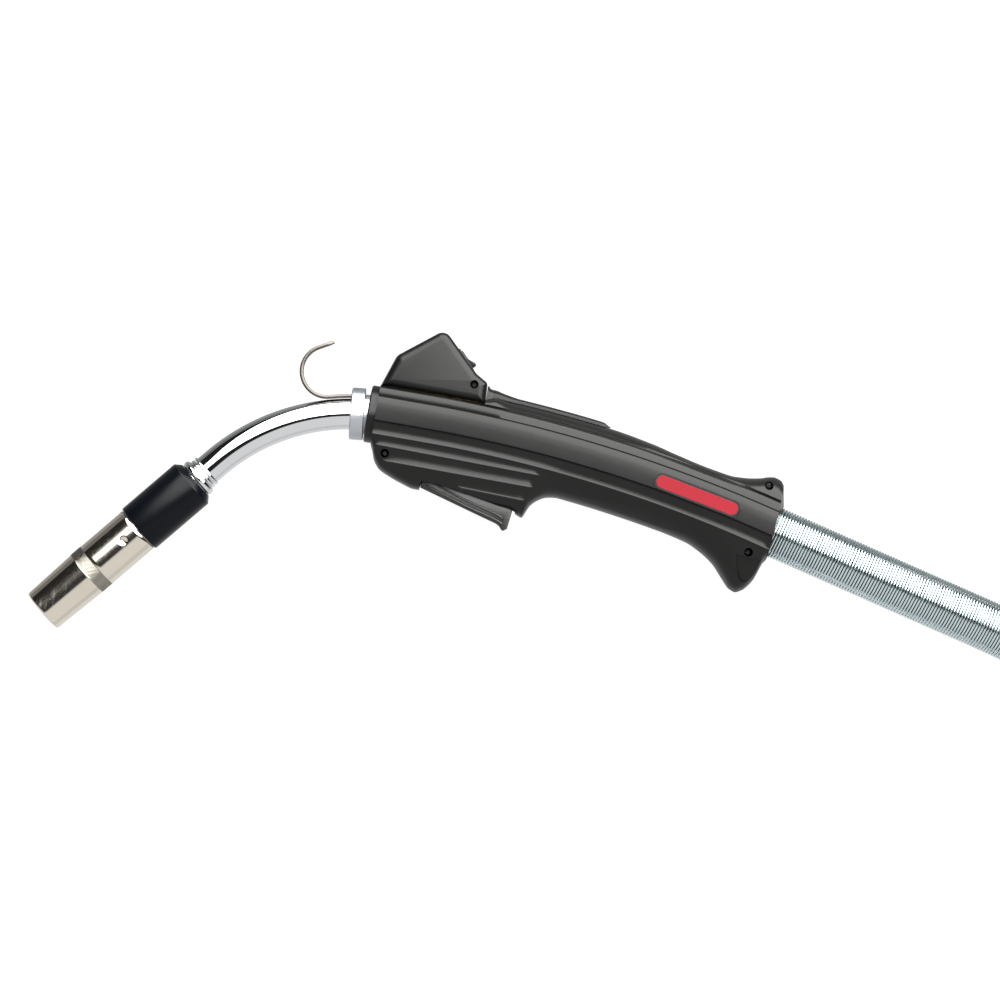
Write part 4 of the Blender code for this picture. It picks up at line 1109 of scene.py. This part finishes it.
class TORCH_OT_trigger(bpy.types.Operator):
    """Builds the trigger lever with its two lengthwise ridges"""

    bl_idname = "torch.trigger"
    bl_label = "Trigger"

    def execute(self, context):
        low, high = span("trigger_lever", 2)
        outline = rounded_outline(TRIGGER_CORNERS, 5)
        lever = extrude_outline("trigger_grip", outline, low + 0.0006, high - 0.0006)
        round_edges(lever, 0.0005, 3, 40.0)
        x, y = TRIGGER_PIN
        cut(lever, drum("pin_way", 0.0018, (x, y, 0.0), (x, y, 0.04), 32))
        start, end = (x - 0.005, y - 0.0045, MID_Z - 0.004), (x + 0.006, 0.0, MID_Z + 0.004)
        cut(lever, box_of("fork", start, end))
        ridges = []
        for drop in (0.0016, 0.0044):
            for z, side in ((high - 0.0006, 1), (low + 0.0006, -1)):
                ridges.append(ridge_along(drop, z, side))
        grip = join([lever, *ridges], "trigger_grip")
        hand_over(grip, "trigger", "trigger", ["trigger_lever"])
        return {"FINISHED"}


def ridge_along(drop, z, side):
    """A low rounded ridge on the trigger's side, drop above its lower edge."""
    lower = ((0.0262, -0.0327), (0.0470, -0.0393), (0.0655, -0.0443), (0.0690, -0.0465))
    line = smooth_curve([(x + 0.0006, y + drop, 0.0) for x, y in lower], 0.0015)
    loops = []
    for k, (point, ahead) in enumerate(zip(line, headings(line), strict=True)):
        up = Vector((-ahead.y, ahead.x, 0))
        size = 0.25 if k in (0, len(line) - 1) else 1.0
        loop = []
        for j in range(7):
            turn = math.pi * j / 6
            out = side * 0.0009 * size * math.sin(turn) ** 0.6
            loop.append(point + up * 0.0006 * size * math.cos(turn) + Vector((0, 0, z + out)))
        loop.append(point - up * 0.0006 * size + Vector((0, 0, z - side * 0.0004)))
        loop.append(point + up * 0.0006 * size + Vector((0, 0, z - side * 0.0004)))
        loops.append(loop)
    return loft("ridge", loops)


class TORCH_OT_rocker(bpy.types.Operator):
    """Builds the rocker switch on the housing's rear slope"""

    bl_idname = "torch.rocker"
    bl_label = "Rocker switch"

    def execute(self, context):
        length, width = (half + HAIR + 0.001 for half in ROCKER_HALF)
        base = box_of("rocker_frame", (-length, -0.0080, -width), (length, 0.0004, width), rocker_place())
        round_edges(base, 0.0003, 2)
        x, z = (half + HAIR for half in ROCKER_HALF)
        cut(base, box_of("well", (-x, -0.006, -z), (x, 0.004, z), rocker_place()))
        hand_over(base, "handle", "switch_plastic", ["rocker_base"])
        corners = (
            (-0.0055, -0.0018, 0.0002),
            (0.0055, -0.0018, 0.0002),
            (0.0053, 0.0027, 0.0007),
            (0.0038, 0.0028, 0.0008),
            (0.0003, 0.0009, 0.0060),
            (-0.0050, 0.0009, 0.0005),
        )
        outline = rounded_outline(corners, 5)
        reach = ROCKER_HALF[1]
        button = extrude_outline("rocker_cap", outline, -reach, reach, rocker_place())
        round_edges(button, 0.0004, 3, 40.0)
        hand_over(button, "rocker", "button", ["rocker_button"])
        return {"FINISHED"}


# Neck and front end


class TORCH_OT_neck(bpy.types.Operator):
    """Builds the swan neck, its collar and the hanger hook"""

    bl_idname = "torch.neck"
    bl_label = "Neck, collar and hook"

    def execute(self, context):
        tail = span("neck_tube", 0)[1]
        bend = [neck_point(NECK_BEND * k / 64) for k in range(65)]
        line = [Vector((tail, 0.0, MID_Z)), Vector((0.010, 0.0, MID_Z)), *bend]
        line += [neck_point(NECK_BEND) + reach * FORWARD for reach in (0.010, 0.028)]
        loops = rings_along(line, NECK_RADIUS, 72) + rings_along(line, 0.0050, 72)[::-1]
        neck = loft("swan_neck", loops, "join")
        hand_over(neck, "handle", "chrome", ["neck_tube"])
        build_collar()
        build_hook()
        return {"FINISHED"}


def build_collar():
    centre = Vector((-0.0141, -0.0008, MID_Z))
    tilt = math.radians(5.5)
    axis = Vector((math.cos(tilt), math.sin(tilt), 0.0))
    half, clear = 0.0037, NECK_RADIUS + 0.0008
    profile = (
        (clear, -half),
        (0.0129, -half),
        (0.0135, -half + 0.0006),
        (0.0135, half - 0.0006),
        (0.0132, half - 0.0003),
        (0.0103, half - 0.0003),
        (0.0103, half + 0.0060),
        (clear, half + 0.0060),
    )
    collar = lathe("neck_collar_turned", profile, aim(centre, axis), 128)
    turn = Matrix.Translation(centre) @ Matrix.Rotation(tilt, 4, "Z")
    cut(collar, box_of("slot", (-0.006, 0.0, -0.0044), (0.0022, 0.0106, 0.0044), turn))
    hand_over(collar, "handle", "collar", ["neck_collar"])


def build_hook():
    """A bent strip with rounded edges that lies on the neck and curls up into an open loop."""
    thick, wide, loop_radius, tip = 0.0020, 0.008, 0.0132, 0.0085
    start, end, sweep = math.radians(7.0), math.radians(15.0), math.radians(166.0)
    radius = NECK_RADIUS + HAIR + thick / 2
    angles = [start + (end - start) * k / 6 for k in range(7)]
    line = [(neck_point(angle, radius), math.pi + angle) for angle in angles]
    last, heading = line[-1]
    centre = last + loop_radius * Vector((math.sin(heading), -math.cos(heading), 0))
    for k in range(1, 49):
        turn = heading - sweep * k / 48
        line.append((centre - loop_radius * Vector((math.sin(turn), -math.cos(turn), 0)), turn))
    point, turn = line[-1]
    ahead = Vector((math.cos(turn), math.sin(turn), 0))
    line += [(point + ahead * tip * k / 4, turn) for k in range(1, 5)]
    edge = 0.0005
    loops = []
    for k, (point, turn) in enumerate(line):
        across = Vector((math.sin(turn), -math.cos(turn), 0))
        trim = edge if k in (0, len(line) - 1) else 0.0
        half, side = thick / 2 - trim * 0.6, wide / 2 - trim
        corners = []
        for quarter, (sx, sz) in enumerate(((1, 1), (-1, 1), (-1, -1), (1, -1))):
            for j in range(4):
                swing = math.pi / 2 * (quarter + j / 3)
                a = sx * (half - edge) + edge * math.cos(swing)
                b = sz * (side - edge) + edge * math.sin(swing)
                corners.append(point + across * a + Vector((0, 0, b)))
        loops.append(corners)
    hand_over(loft("hanger_strip", loops), "handle", "hook", ["hanger_hook"])


class TORCH_OT_front_end(bpy.types.Operator):
    """Builds the crimped ring, the insulator, the knurled nozzle and the contact tip"""

    bl_idname = "torch.front_end"
    bl_label = "Front end"

    def execute(self, context):
        build_end_ring()
        build_insulator()
        build_nozzle(scene_sizes())
        build_tip()
        return {"FINISHED"}


def build_end_ring():
    """The plated ring, and the two small crimps behind it."""
    rear, front = reach_of("neck_end_ring")
    bore = NECK_RADIUS + 0.0001
    crimp = 0.0088
    profile = [(bore, front), (0.0098, front), (0.01045, front - 0.0009)]
    profile += [(0.01045, rear + 0.0011), (0.0096, rear)]
    for k in range(2):
        back = rear - 0.0004 - 0.0022 * k
        profile += [(0.0083, back), (crimp, back - 0.0005)]
        profile += [(crimp, back - 0.0013), (0.0083, back - 0.0018)]
    profile += [(bore, rear - 0.0046)]
    ring = lathe("crimped_ring", profile, front_place(), 96)
    round_edges(ring, 0.0003, 3)
    hand_over(ring, "handle", "chrome", ["neck_end_ring"])


def build_insulator():
    rear, front = reach_of("nozzle_insulator")
    radius = 0.0135
    pocket = front - 0.0120 - HAIR
    profile = (
        (NECK_RADIUS + 0.0004, rear),
        (radius - 0.0030, rear),
        (radius, rear + 0.0030),
        (radius, front - 0.0006),
        (radius - 0.0006, front),
        (0.0113, front),
        (0.0113, pocket),
        (0.0090, pocket),
        (0.0090, 0.0260),
        (NECK_RADIUS + 0.0004, 0.0260),
    )
    sleeve = lathe("insulator_sleeve", profile, front_place(), 96)
    round_edges(sleeve, 0.0004, 3)
    hand_over(sleeve, "handle", "insulator", ["nozzle_insulator"])


def build_nozzle(sizes):
    """The plated nozzle: taper, knurled band and the pressed dimple."""
    rear, mouth = reach_of("gas_nozzle")
    shoulder = mouth - 0.0651
    band_front, band_rear = mouth - 0.0300, mouth - 0.0370
    radius, tip_radius, inner = 0.0127, 0.01185, 0.0095
    rings = []
    dent = mouth - 0.0560
    reach = shoulder + 0.0004
    while reach < mouth - 0.0006:
        share = max(0.0, (reach - band_front) / (mouth - band_front))
        rings.append((radius + (tip_radius - radius) * share, reach))
        fine = band_rear - 0.0008 < reach < band_front + 0.0004 or abs(reach - dent) < 0.004
        reach += sizes.knurl_pitch / 5 if fine else 0.0015
    profile = [(inner, rear), (0.0110, rear), (0.0110, shoulder), (radius - 0.0004, shoulder)]
    profile += [*rings, (tip_radius, mouth - 0.0005), (tip_radius - 0.0004, mouth)]
    profile += [(inner + 0.0004, mouth), (inner, mouth - 0.0004)]
    nozzle = lathe("nozzle_plated", profile, Matrix.Identity(4), sizes.nozzle_steps)
    teeth = round(math.tau * radius / sizes.knurl_pitch)
    for vertex in nozzle.data.vertices:
        x, y, z = vertex.co
        out = math.hypot(x, y)
        if out < radius - 0.0006:
            continue
        turn = math.atan2(y, x)
        push = 0.0
        inside = fade(z, band_rear + 0.0005, band_front - 0.0005, 0.0004)
        if inside > 0:
            lead = teeth * turn
            climb = math.tau * z / sizes.knurl_pitch
            pattern = min(abs(math.sin((lead + climb) / 2)), abs(math.sin((lead - climb) / 2)))
            push += inside * sizes.knurl_depth * (pattern - 0.9)
        around = out * math.atan2(math.sin(turn - DIMPLE_TURN), math.cos(turn - DIMPLE_TURN))
        away = math.hypot(around, z - dent) / 0.0021
        if away < 1.6:
            push -= 0.0009 * math.exp(-2.2 * away**3)
        vertex.co.x *= 1 + push / out
        vertex.co.y *= 1 + push / out
    # Faces of the knurled band take the darker nickel, whose tint is painted shade of the knurl's
    # grooves.
    for face in nozzle.data.polygons:
        x, y, z = face.center
        outside = math.hypot(x, y) > radius - 0.0006
        face.material_index = int(outside and band_rear < z < band_front)
    settle(nozzle, front_place())
    hand_over(nozzle, "nozzle", ["nickel", "knurl_painted_shade_nickel"], ["gas_nozzle"], 60.0)


def up_turn():
    """The angle about the front end's axis that faces the torch's left side."""
    up = front_place().to_3x3().inverted() @ Vector((0, 0, 1))
    return math.atan2(up.y, up.x)


DIMPLE_TURN = up_turn()


def build_tip():
    rear, front = reach_of("contact_tip")
    shoulder = rear + 0.0080
    profile = (
        (0.0006, rear),
        (0.0027, rear),
        (0.0027, shoulder),
        (0.0040, shoulder),
        (0.0040, front - 0.0060),
        (0.0028, front),
        (0.0006, front),
    )
    tip = lathe("contact_tip_turned", profile, front_place(), 64)
    round_edges(tip, 0.0002, 2)
    hand_over(tip, "handle", "copper", ["contact_tip"])


# Spring, cable and connector


def cable_line():
    """The whole cable: out of the handle, round the coil in two layers and up into the connector."""
    entry = coil_point(COIL_ENTRY, COIL_OUTER, LOW_HEIGHT)
    points = smooth_curve([*CABLE_ROUTE, entry], 0.010)[:-1]
    step = math.radians(6.0)
    count = round(LOWER_TURNS * math.tau / step)
    for k in range(count):
        reach = COIL_OUTER + (COIL_INNER - COIL_OUTER) * k / count
        points.append(coil_point(COIL_ENTRY + k * step, reach, LOW_HEIGHT))
    turn = COIL_ENTRY + LOWER_TURNS * math.tau
    climb = round(math.pi / 2 / step)
    for k in range(climb):
        share = k / climb
        lift = LAYER_PITCH * share * share * (3 - 2 * share)
        points.append(coil_point(turn + k * step, COIL_INNER, LOW_HEIGHT + lift))
    turn += math.pi / 2
    count = round(UPPER_TURNS * math.tau / step)
    for k in range(count):
        share = k / count
        reach = COIL_INNER + (TAIL_OUTER - COIL_INNER) * share
        back = (count - k) * step * TAIL_OUTER
        points.append(coil_point(turn + k * step, reach, tail_height(-back)))
    last = TAIL_RADIUS * (math.tau - COIL_ENTRY)
    count = round((last + 0.040) / 0.010)
    points += [tail_point((last + 0.040) * k / count) for k in range(count + 1)]
    return points


def coil_point(turn, radius, height):
    return COIL_CENTRE + Vector((radius * math.cos(turn), radius * math.sin(turn), height))


LOW_HEIGHT = CABLE_RADIUS + 0.0001


def tail_height(distance):
    low = LOW_HEIGHT + LAYER_PITCH
    share = min(1.0, max(0.0, (distance + 0.06) / 0.20))
    return low + (CONNECTOR_HEIGHT - low) * share**2 * (3 - 2 * share)


def tail_point(distance):
    """The last turn leaves the coil on a tighter bend that climbs over it until it heads along +Y."""
    out = Vector((math.cos(COIL_ENTRY), math.sin(COIL_ENTRY), 0))
    centre = COIL_CENTRE + (TAIL_OUTER - TAIL_RADIUS) * out
    last = TAIL_RADIUS * (math.tau - COIL_ENTRY)
    turn = COIL_ENTRY + min(distance, last) / TAIL_RADIUS
    point = centre + TAIL_RADIUS * Vector((math.cos(turn), math.sin(turn), 0))
    return point + Vector((0, max(0.0, distance - last), tail_height(distance)))


class TORCH_OT_cable(bpy.types.Operator):
    bl_idname = "torch.cable"
    bl_label = "Cable"

    def execute(self, context):
        points = cable_line()
        cable = loft("welding_cable", rings_along(points, CABLE_RADIUS, 24))
        hand_over(cable, "handle", "rubber", ["cable_run", "cable_coil", "cable_tail"])
        return {"FINISHED"}


class TORCH_OT_spring(bpy.types.Operator):
    """Winds the rear spring round the cable, wire by wire"""

    bl_idname = "torch.spring"
    bl_label = "Rear spring"

    def execute(self, context):
        sizes = scene_sizes()
        route = smooth_curve(CABLE_ROUTE, 0.002)
        marks = marks_along(route)
        leaves = Vector(CABLE_ROUTE[1])
        exit_mark = marks[min(range(len(route)), key=lambda k: (route[k] - leaves).length)]
        start, end = exit_mark - 0.0095, exit_mark + 0.1450
        wire = sizes.spring_wire / 2
        turns = (end - start - 2 * wire) / sizes.spring_pitch
        per_turn = 28
        points = []
        ways = headings(route)
        for k in range(int(turns * per_turn) + 1):
            mark = start + wire + sizes.spring_pitch * k / per_turn
            spot = bisect_right(marks, mark) - 1
            share = (mark - marks[spot]) / (marks[spot + 1] - marks[spot])
            centre = route[spot].lerp(route[spot + 1], share)
            ahead = ways[spot].lerp(ways[spot + 1], share).normalized()
            side = ahead.cross(Vector((0, 0, 1))).normalized()
            up = side.cross(ahead)
            turn = math.tau * k / per_turn
            reach = SPRING_RADIUS - wire
            points.append(centre + reach * (math.cos(turn) * side + math.sin(turn) * up))
        spring = wire_coil("spring_coils", points, wire)
        hand_over(spring, "handle", "zinc", ["rear_spring"], 80.0)
        return {"FINISHED"}


def wire_coil(name, points, radius):
    """A round wire along a close helix."""
    curve = bpy.data.curves.new(name, "CURVE")
    curve.dimensions = "3D"
    curve.bevel_depth = radius
    curve.bevel_resolution = 2
    curve.use_fill_caps = True
    spline = curve.splines.new("POLY")
    spline.points.add(len(points) - 1)
    for spot, point in zip(spline.points, points, strict=True):
        spot.co = (*point, 1.0)
    coil = bpy.data.objects.new(name, curve)
    bpy.context.scene.collection.objects.link(coil)
    pick(coil)
    bpy.ops.object.convert(target="MESH")
    return tidy_faces(bpy.context.object)


def plug_place(y):
    """A placement on the connector's axis, whose Z runs out of the connector."""
    return aim((CONNECTOR_X, y, CONNECTOR_HEIGHT), (0, 1, 0))


class TORCH_OT_connector(bpy.types.Operator):
    """Builds the connector at the cable's far end"""

    bl_idname = "torch.connector"
    bl_label = "Connector"

    def execute(self, context):
        build_boot()
        build_plug_body()
        for node, name, body, finish, width, segments in KEPT_SHAPES:
            piece = round_edges(copy_of_node(node, name), width, segments)
            hand_over(piece, body, finish, [node])
        return {"FINISHED"}


def build_boot():
    """The bend relief: a tapered sleeve with rings moulded round it."""
    rear, front = span("connector_boot", 1)
    length = front - rear
    hole = CABLE_RADIUS + HAIR
    profile = [(hole, 0.0), (CABLE_RADIUS + 0.0020, 0.0)]
    rings = 9
    for k in range(rings):
        at = 0.004 + (length - 0.022) * k / rings
        radius = CABLE_RADIUS + 0.0022 + 0.0056 * k / rings
        profile += [(radius, at), (radius + 0.0009, at + 0.0007)]
        profile += [(radius + 0.0009, at + 0.0024), (radius, at + 0.0031)]
    low, high = span("connector_boot", 2)
    top = (high - low) / 2
    profile += [(top - 0.0004, length - 0.016), (top, length - 0.0155), (top, length), (hole, length)]
    boot = lathe("strain_boot", profile, plug_place(rear), 72)
    round_edges(boot, 0.0003, 2)
    hand_over(boot, "handle", "rubber", ["connector_boot"])


def build_plug_body():
    """The moulded body with lengthwise flutes."""
    rear, front = span("connector_body", 1)
    left, right = span("connector_body", 0)
    radius = (right - left) / 2 + 0.0006
    body = copy_of_node("connector_body", "plug_body")
    round_edges(body, 0.0005, 2)
    middle = (rear + front) / 2 - 0.004
    for k in range(24):
        turn = math.tau * k / 24
        out = Vector((math.cos(turn), 0.0, math.sin(turn))) * radius
        centre = Vector((CONNECTOR_X, 0.0, CONNECTOR_HEIGHT)) + out
        start, end = centre + Vector((0, middle - 0.012, 0)), centre + Vector((0, middle + 0.008, 0))
        cut(body, drum("flute", 0.0013, start, end, 12))
    hand_over(body, "handle", "connector_plastic", ["connector_body"])


# The connector's other pieces keep the frame's shape: (node, name, body, finish, rounding, segments)
KEPT_SHAPES = (
    ("connector_face", "plug_face", "handle", "brass", 0.0003, 2),
    ("contact_pin_1", "contact_stud_1", "contact_1", "brass", 0.0003, 3),
    ("contact_pin_2", "contact_stud_2", "contact_2", "brass", 0.0003, 3),
    ("hand_nut", "grip_nut", "nut", "connector_plastic", 0.0006, 3),
    ("gas_nipple", "hose_nipple", "handle", "brass", 0.0002, 2),
    ("liner_nut", "liner_cap", "handle", "brass", 0.0003, 2),
)


def copy_of_node(node, name):
    """A merged copy of a CAD node's own mesh, to be finished further."""
    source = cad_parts[node]
    piece = bpy.data.objects.new(name, source.data.copy())
    bpy.context.scene.collection.objects.link(piece)
    piece.data.materials.clear()
    tidy_faces(piece, 1e-6)
    bpy.ops.object.mode_set(mode="EDIT")
    bpy.ops.mesh.select_all(action="SELECT")
    bpy.ops.mesh.dissolve_limited(angle_limit=math.radians(0.5))
    bpy.ops.object.mode_set(mode="OBJECT")
    return piece


# Stage


class TORCH_OT_finishes(bpy.types.Operator):
    """Makes every finish and gives the kept CAD nodes theirs"""

    bl_idname = "torch.finishes"
    bl_label = "Finishes"

    def execute(self, context):
        build_grain_group()
        build_scratch_group()
        build_finishes(context.scene.torch_colours)
        refinish_nodes()
        return {"FINISHED"}


class TORCH_OT_stage(bpy.types.Operator):
    """Sets up the pale floor, the studio light and the camera"""

    bl_idname = "torch.stage"
    bl_label = "Stage"

    def execute(self, context):
        build_floor(context.scene.torch_stage)
        build_studio(context)
        build_camera(context)
        return {"FINISHED"}


BOX_DIRECTION = Vector((0.256, 0.751, 0.608))
WALL_DIRECTION = Vector((-0.167, -0.952, -0.255))
UNDER_EDGE = 0.41


def build_floor(stage):
    """A plain white sheet. Reflections see only the parts of it that the side wall lights."""
    clear_selection()
    bpy.ops.mesh.primitive_plane_add(size=12.0, location=(0.2, 0.0, -0.0002))
    floor = bpy.context.object
    floor.name = "floor"
    finish = bpy.data.materials.new("pale_floor")
    finish.use_nodes = True
    tree = finish.node_tree
    shader = tree.nodes["Principled BSDF"]
    shader.inputs["Base Color"].default_value = (0.06, 0.06, 0.06, 1.0)
    shader.inputs["Roughness"].default_value = 1.0
    shader.inputs["Specular IOR Level"].default_value = 0.0
    shader.inputs["Emission Color"].default_value = (1.0, 1.0, 1.0, 1.0)
    ray = shader_node(tree, "ShaderNodeNewGeometry").outputs["Incoming"]
    side, under = stage.wall_light * 0.62, stage.wall_light * 0.2
    slanting = direction_patch(tree, ray, -WALL_DIRECTION, -0.02, 0.06, side)
    steep = direction_patch(tree, ray, (0.0, 0.0, 1.0), UNDER_EDGE, UNDER_EDGE + 0.05, under)
    lit = add_up(tree, slanting, steep)
    camera_sees_white(tree, lit, shader.inputs["Emission Strength"], 0.97)
    floor.data.materials.append(finish)


def direction_patch(tree, vector, towards, low, high, value):
    """A patch of light: value where the direction's share of towards is past high, none below low."""
    dot = shader_node(tree, "ShaderNodeVectorMath", operation="DOT_PRODUCT")
    dot.inputs[1].default_value = towards
    ramp = shader_node(
        tree,
        "ShaderNodeMapRange",
        interpolation_type="SMOOTHSTEP",
        **{"From Min": low, "From Max": high, "To Min": 0.0, "To Max": value},
    )
    tree.links.new(vector, dot.inputs[0])
    tree.links.new(dot.outputs["Value"], ramp.inputs["Value"])
    return ramp.outputs["Result"]


def add_up(tree, first, second):
    add = shader_node(tree, "ShaderNodeMath", operation="ADD")
    tree.links.new(first, add.inputs[0])
    if isinstance(second, float):
        add.inputs[1].default_value = second
    else:
        tree.links.new(second, add.inputs[1])
    return add.outputs["Value"]


def camera_sees_white(tree, light, socket, white):
    seen = tree.nodes.new("ShaderNodeLightPath")
    choose = tree.nodes.new("ShaderNodeMix")
    choose.inputs["B"].default_value = white
    tree.links.new(seen.outputs["Is Camera Ray"], choose.inputs["Factor"])
    tree.links.new(light, choose.inputs["A"])
    tree.links.new(choose.outputs["Result"], socket)


def build_studio(context):
    """A dark room with one broad soft box over the torch and a bright wall on its lower side."""
    world = bpy.data.worlds.new("studio")
    context.scene.world = world
    world.use_nodes = True
    tree = world.node_tree
    background = tree.nodes["Background"]
    stage = context.scene.torch_stage
    edge = stage.box_angle
    ray = shader_node(tree, "ShaderNodeTexCoord").outputs["Generated"]
    near, far = math.cos(edge + 0.03), math.cos(edge - 0.03)
    box = direction_patch(tree, ray, BOX_DIRECTION, near, far, stage.box_light)
    wall = direction_patch(tree, ray, WALL_DIRECTION, -0.02, 0.06, stage.wall_light)
    total = add_up(tree, add_up(tree, box, wall), stage.room_light)
    camera_sees_white(tree, total, background.inputs["Strength"], 1.0)
    background.inputs["Color"].default_value = (1.0, 0.995, 0.985, 1.0)
    context.scene.view_settings.view_transform = "Standard"


def build_camera(context):
    """Looks straight down on the torch's left side, with a long lens."""
    stage = context.scene.torch_stage
    data = bpy.data.cameras.new("camera")
    distance = 2.6
    data.sensor_width = 36.0
    data.lens = data.sensor_width * distance / stage.view_width
    data.clip_end = 50.0
    camera = bpy.data.objects.new("camera", data)
    context.scene.collection.objects.link(camera)
    camera.location = (stage.view_x, stage.view_y, MID_Z + distance)
    camera.rotation_euler = (0.0, 0.0, stage.view_turn)
    context.scene.camera = camera


# Settings, panel and registration


class TorchSizes(bpy.types.PropertyGroup):
    """Sizes of the torch's surface detail"""

    groove_depth: bpy.props.FloatProperty(
        name="Groove depth", description="Depth of the long grooves", default=0.0008, subtype="DISTANCE"
    )
    groove_width: bpy.props.FloatProperty(
        name="Groove width", description="Width of the deep grooves", default=0.0012, subtype="DISTANCE"
    )
    rib_height: bpy.props.FloatProperty(
        name="Rib height",
        description="How far the belly ribs stand out",
        default=0.00045,
        subtype="DISTANCE",
    )
    rib_width: bpy.props.FloatProperty(
        name="Rib width", description="Width of the belly ribs", default=0.0009, subtype="DISTANCE"
    )
    housing_rim: bpy.props.FloatProperty(
        name="Housing rim",
        description="Rounding of the housing's side edges",
        default=0.0042,
        subtype="DISTANCE",
    )
    section_step: bpy.props.FloatProperty(
        name="Section step",
        description="Space between the handle's sections",
        default=0.0014,
        subtype="DISTANCE",
    )
    label_length: bpy.props.FloatProperty(
        name="Label length", description="Length of the capsule plate", default=0.046, subtype="DISTANCE"
    )
    label_height: bpy.props.FloatProperty(
        name="Label height", description="Height of the capsule plate", default=0.008, subtype="DISTANCE"
    )
    knurl_pitch: bpy.props.FloatProperty(
        name="Knurl pitch",
        description="Space between the knurl's diamonds",
        default=0.0010,
        subtype="DISTANCE",
    )
    knurl_depth: bpy.props.FloatProperty(
        name="Knurl depth",
        description="Height of the knurl's diamonds",
        default=0.00032,
        subtype="DISTANCE",
    )
    nozzle_steps: bpy.props.IntProperty(
        name="Nozzle steps", description="Faces round the nozzle", default=320, min=64, max=400
    )
    spring_wire: bpy.props.FloatProperty(
        name="Spring wire",
        description="Thickness of the spring's wire",
        default=0.00128,
        subtype="DISTANCE",
    )
    spring_pitch: bpy.props.FloatProperty(
        name="Spring pitch",
        description="Space between the spring's turns",
        default=0.00155,
        subtype="DISTANCE",
    )


class TorchColours(bpy.types.PropertyGroup):
    """Colours of the torch's finishes"""

    plastic_black: bpy.props.FloatVectorProperty(
        name="Handle black",
        description="Moulded plastic",
        default=(0.0022, 0.0022, 0.0021),
        subtype="COLOR",
    )
    label_red: bpy.props.FloatVectorProperty(
        name="Label red", description="Capsule plate", default=(0.185, 0.0100, 0.0160), subtype="COLOR"
    )
    nickel_warm: bpy.props.FloatVectorProperty(
        name="Nickel", description="Nozzle plating", default=(0.74, 0.69, 0.60), subtype="COLOR"
    )


class TorchStage(bpy.types.PropertyGroup):
    """Light and view"""

    box_light: bpy.props.FloatProperty(
        name="Soft box",
        description="Brightness of the soft box",
        default=9.0,
    )
    box_angle: bpy.props.FloatProperty(
        name="Soft box angle",
        description="Half width of the soft box",
        default=math.radians(51.5),
        subtype="ANGLE",
    )
    wall_light: bpy.props.FloatProperty(
        name="Wall",
        description="Brightness of the side wall",
        default=0.9,
    )
    room_light: bpy.props.FloatProperty(
        name="Room",
        description="Brightness of the dark room",
        default=0.02,
    )
    view_width: bpy.props.FloatProperty(
        name="View width",
        description="Width seen at the torch's middle",
        default=0.518,
        subtype="DISTANCE",
    )
    view_x: bpy.props.FloatProperty(
        name="View X", description="Middle of the view", default=0.0661, subtype="DISTANCE"
    )
    view_y: bpy.props.FloatProperty(
        name="View Y", description="Middle of the view", default=-0.0321, subtype="DISTANCE"
    )
    view_turn: bpy.props.FloatProperty(
        name="View turn", description="Roll of the view", default=math.radians(9.9), subtype="ANGLE"
    )


PIECE_OPERATORS = (
    TORCH_OT_finishes,
    TORCH_OT_stage,
    TORCH_OT_handle,
    TORCH_OT_housing,
    TORCH_OT_screws,
    TORCH_OT_label,
    TORCH_OT_trigger,
    TORCH_OT_rocker,
    TORCH_OT_neck,
    TORCH_OT_front_end,
    TORCH_OT_spring,
    TORCH_OT_connector,
    TORCH_OT_cable,
)


class TORCH_PT_panel(bpy.types.Panel):
    """Lists the torch's pieces in the sidebar"""

    bl_idname = "TORCH_PT_panel"
    bl_label = "Welding torch"
    bl_space_type = "VIEW_3D"
    bl_region_type = "UI"
    bl_category = "Torch"

    def draw(self, context):
        for operator in PIECE_OPERATORS:
            self.layout.operator(operator.bl_idname)
        for group in (context.scene.torch_sizes, context.scene.torch_colours, context.scene.torch_stage):
            for name in group.bl_rna.properties.keys():
                if name not in ("rna_type", "name"):
                    self.layout.prop(group, name)


CLASSES = (TorchSizes, TorchColours, TorchStage, *PIECE_OPERATORS, TORCH_PT_panel)


def register():
    for kind in CLASSES:
        bpy.utils.register_class(kind)
    bpy.types.Scene.torch_sizes = bpy.props.PointerProperty(type=TorchSizes)
    bpy.types.Scene.torch_colours = bpy.props.PointerProperty(type=TorchColours)
    bpy.types.Scene.torch_stage = bpy.props.PointerProperty(type=TorchStage)


def unregister():
    del bpy.types.Scene.torch_sizes
    del bpy.types.Scene.torch_colours
    del bpy.types.Scene.torch_stage
    for kind in reversed(CLASSES):
        bpy.utils.unregister_class(kind)


def main():
    register()
    for operator in PIECE_OPERATORS:
        family, name = operator.bl_idname.split(".")
        getattr(getattr(bpy.ops, family), name)()


if __name__ == "__main__":
    main()
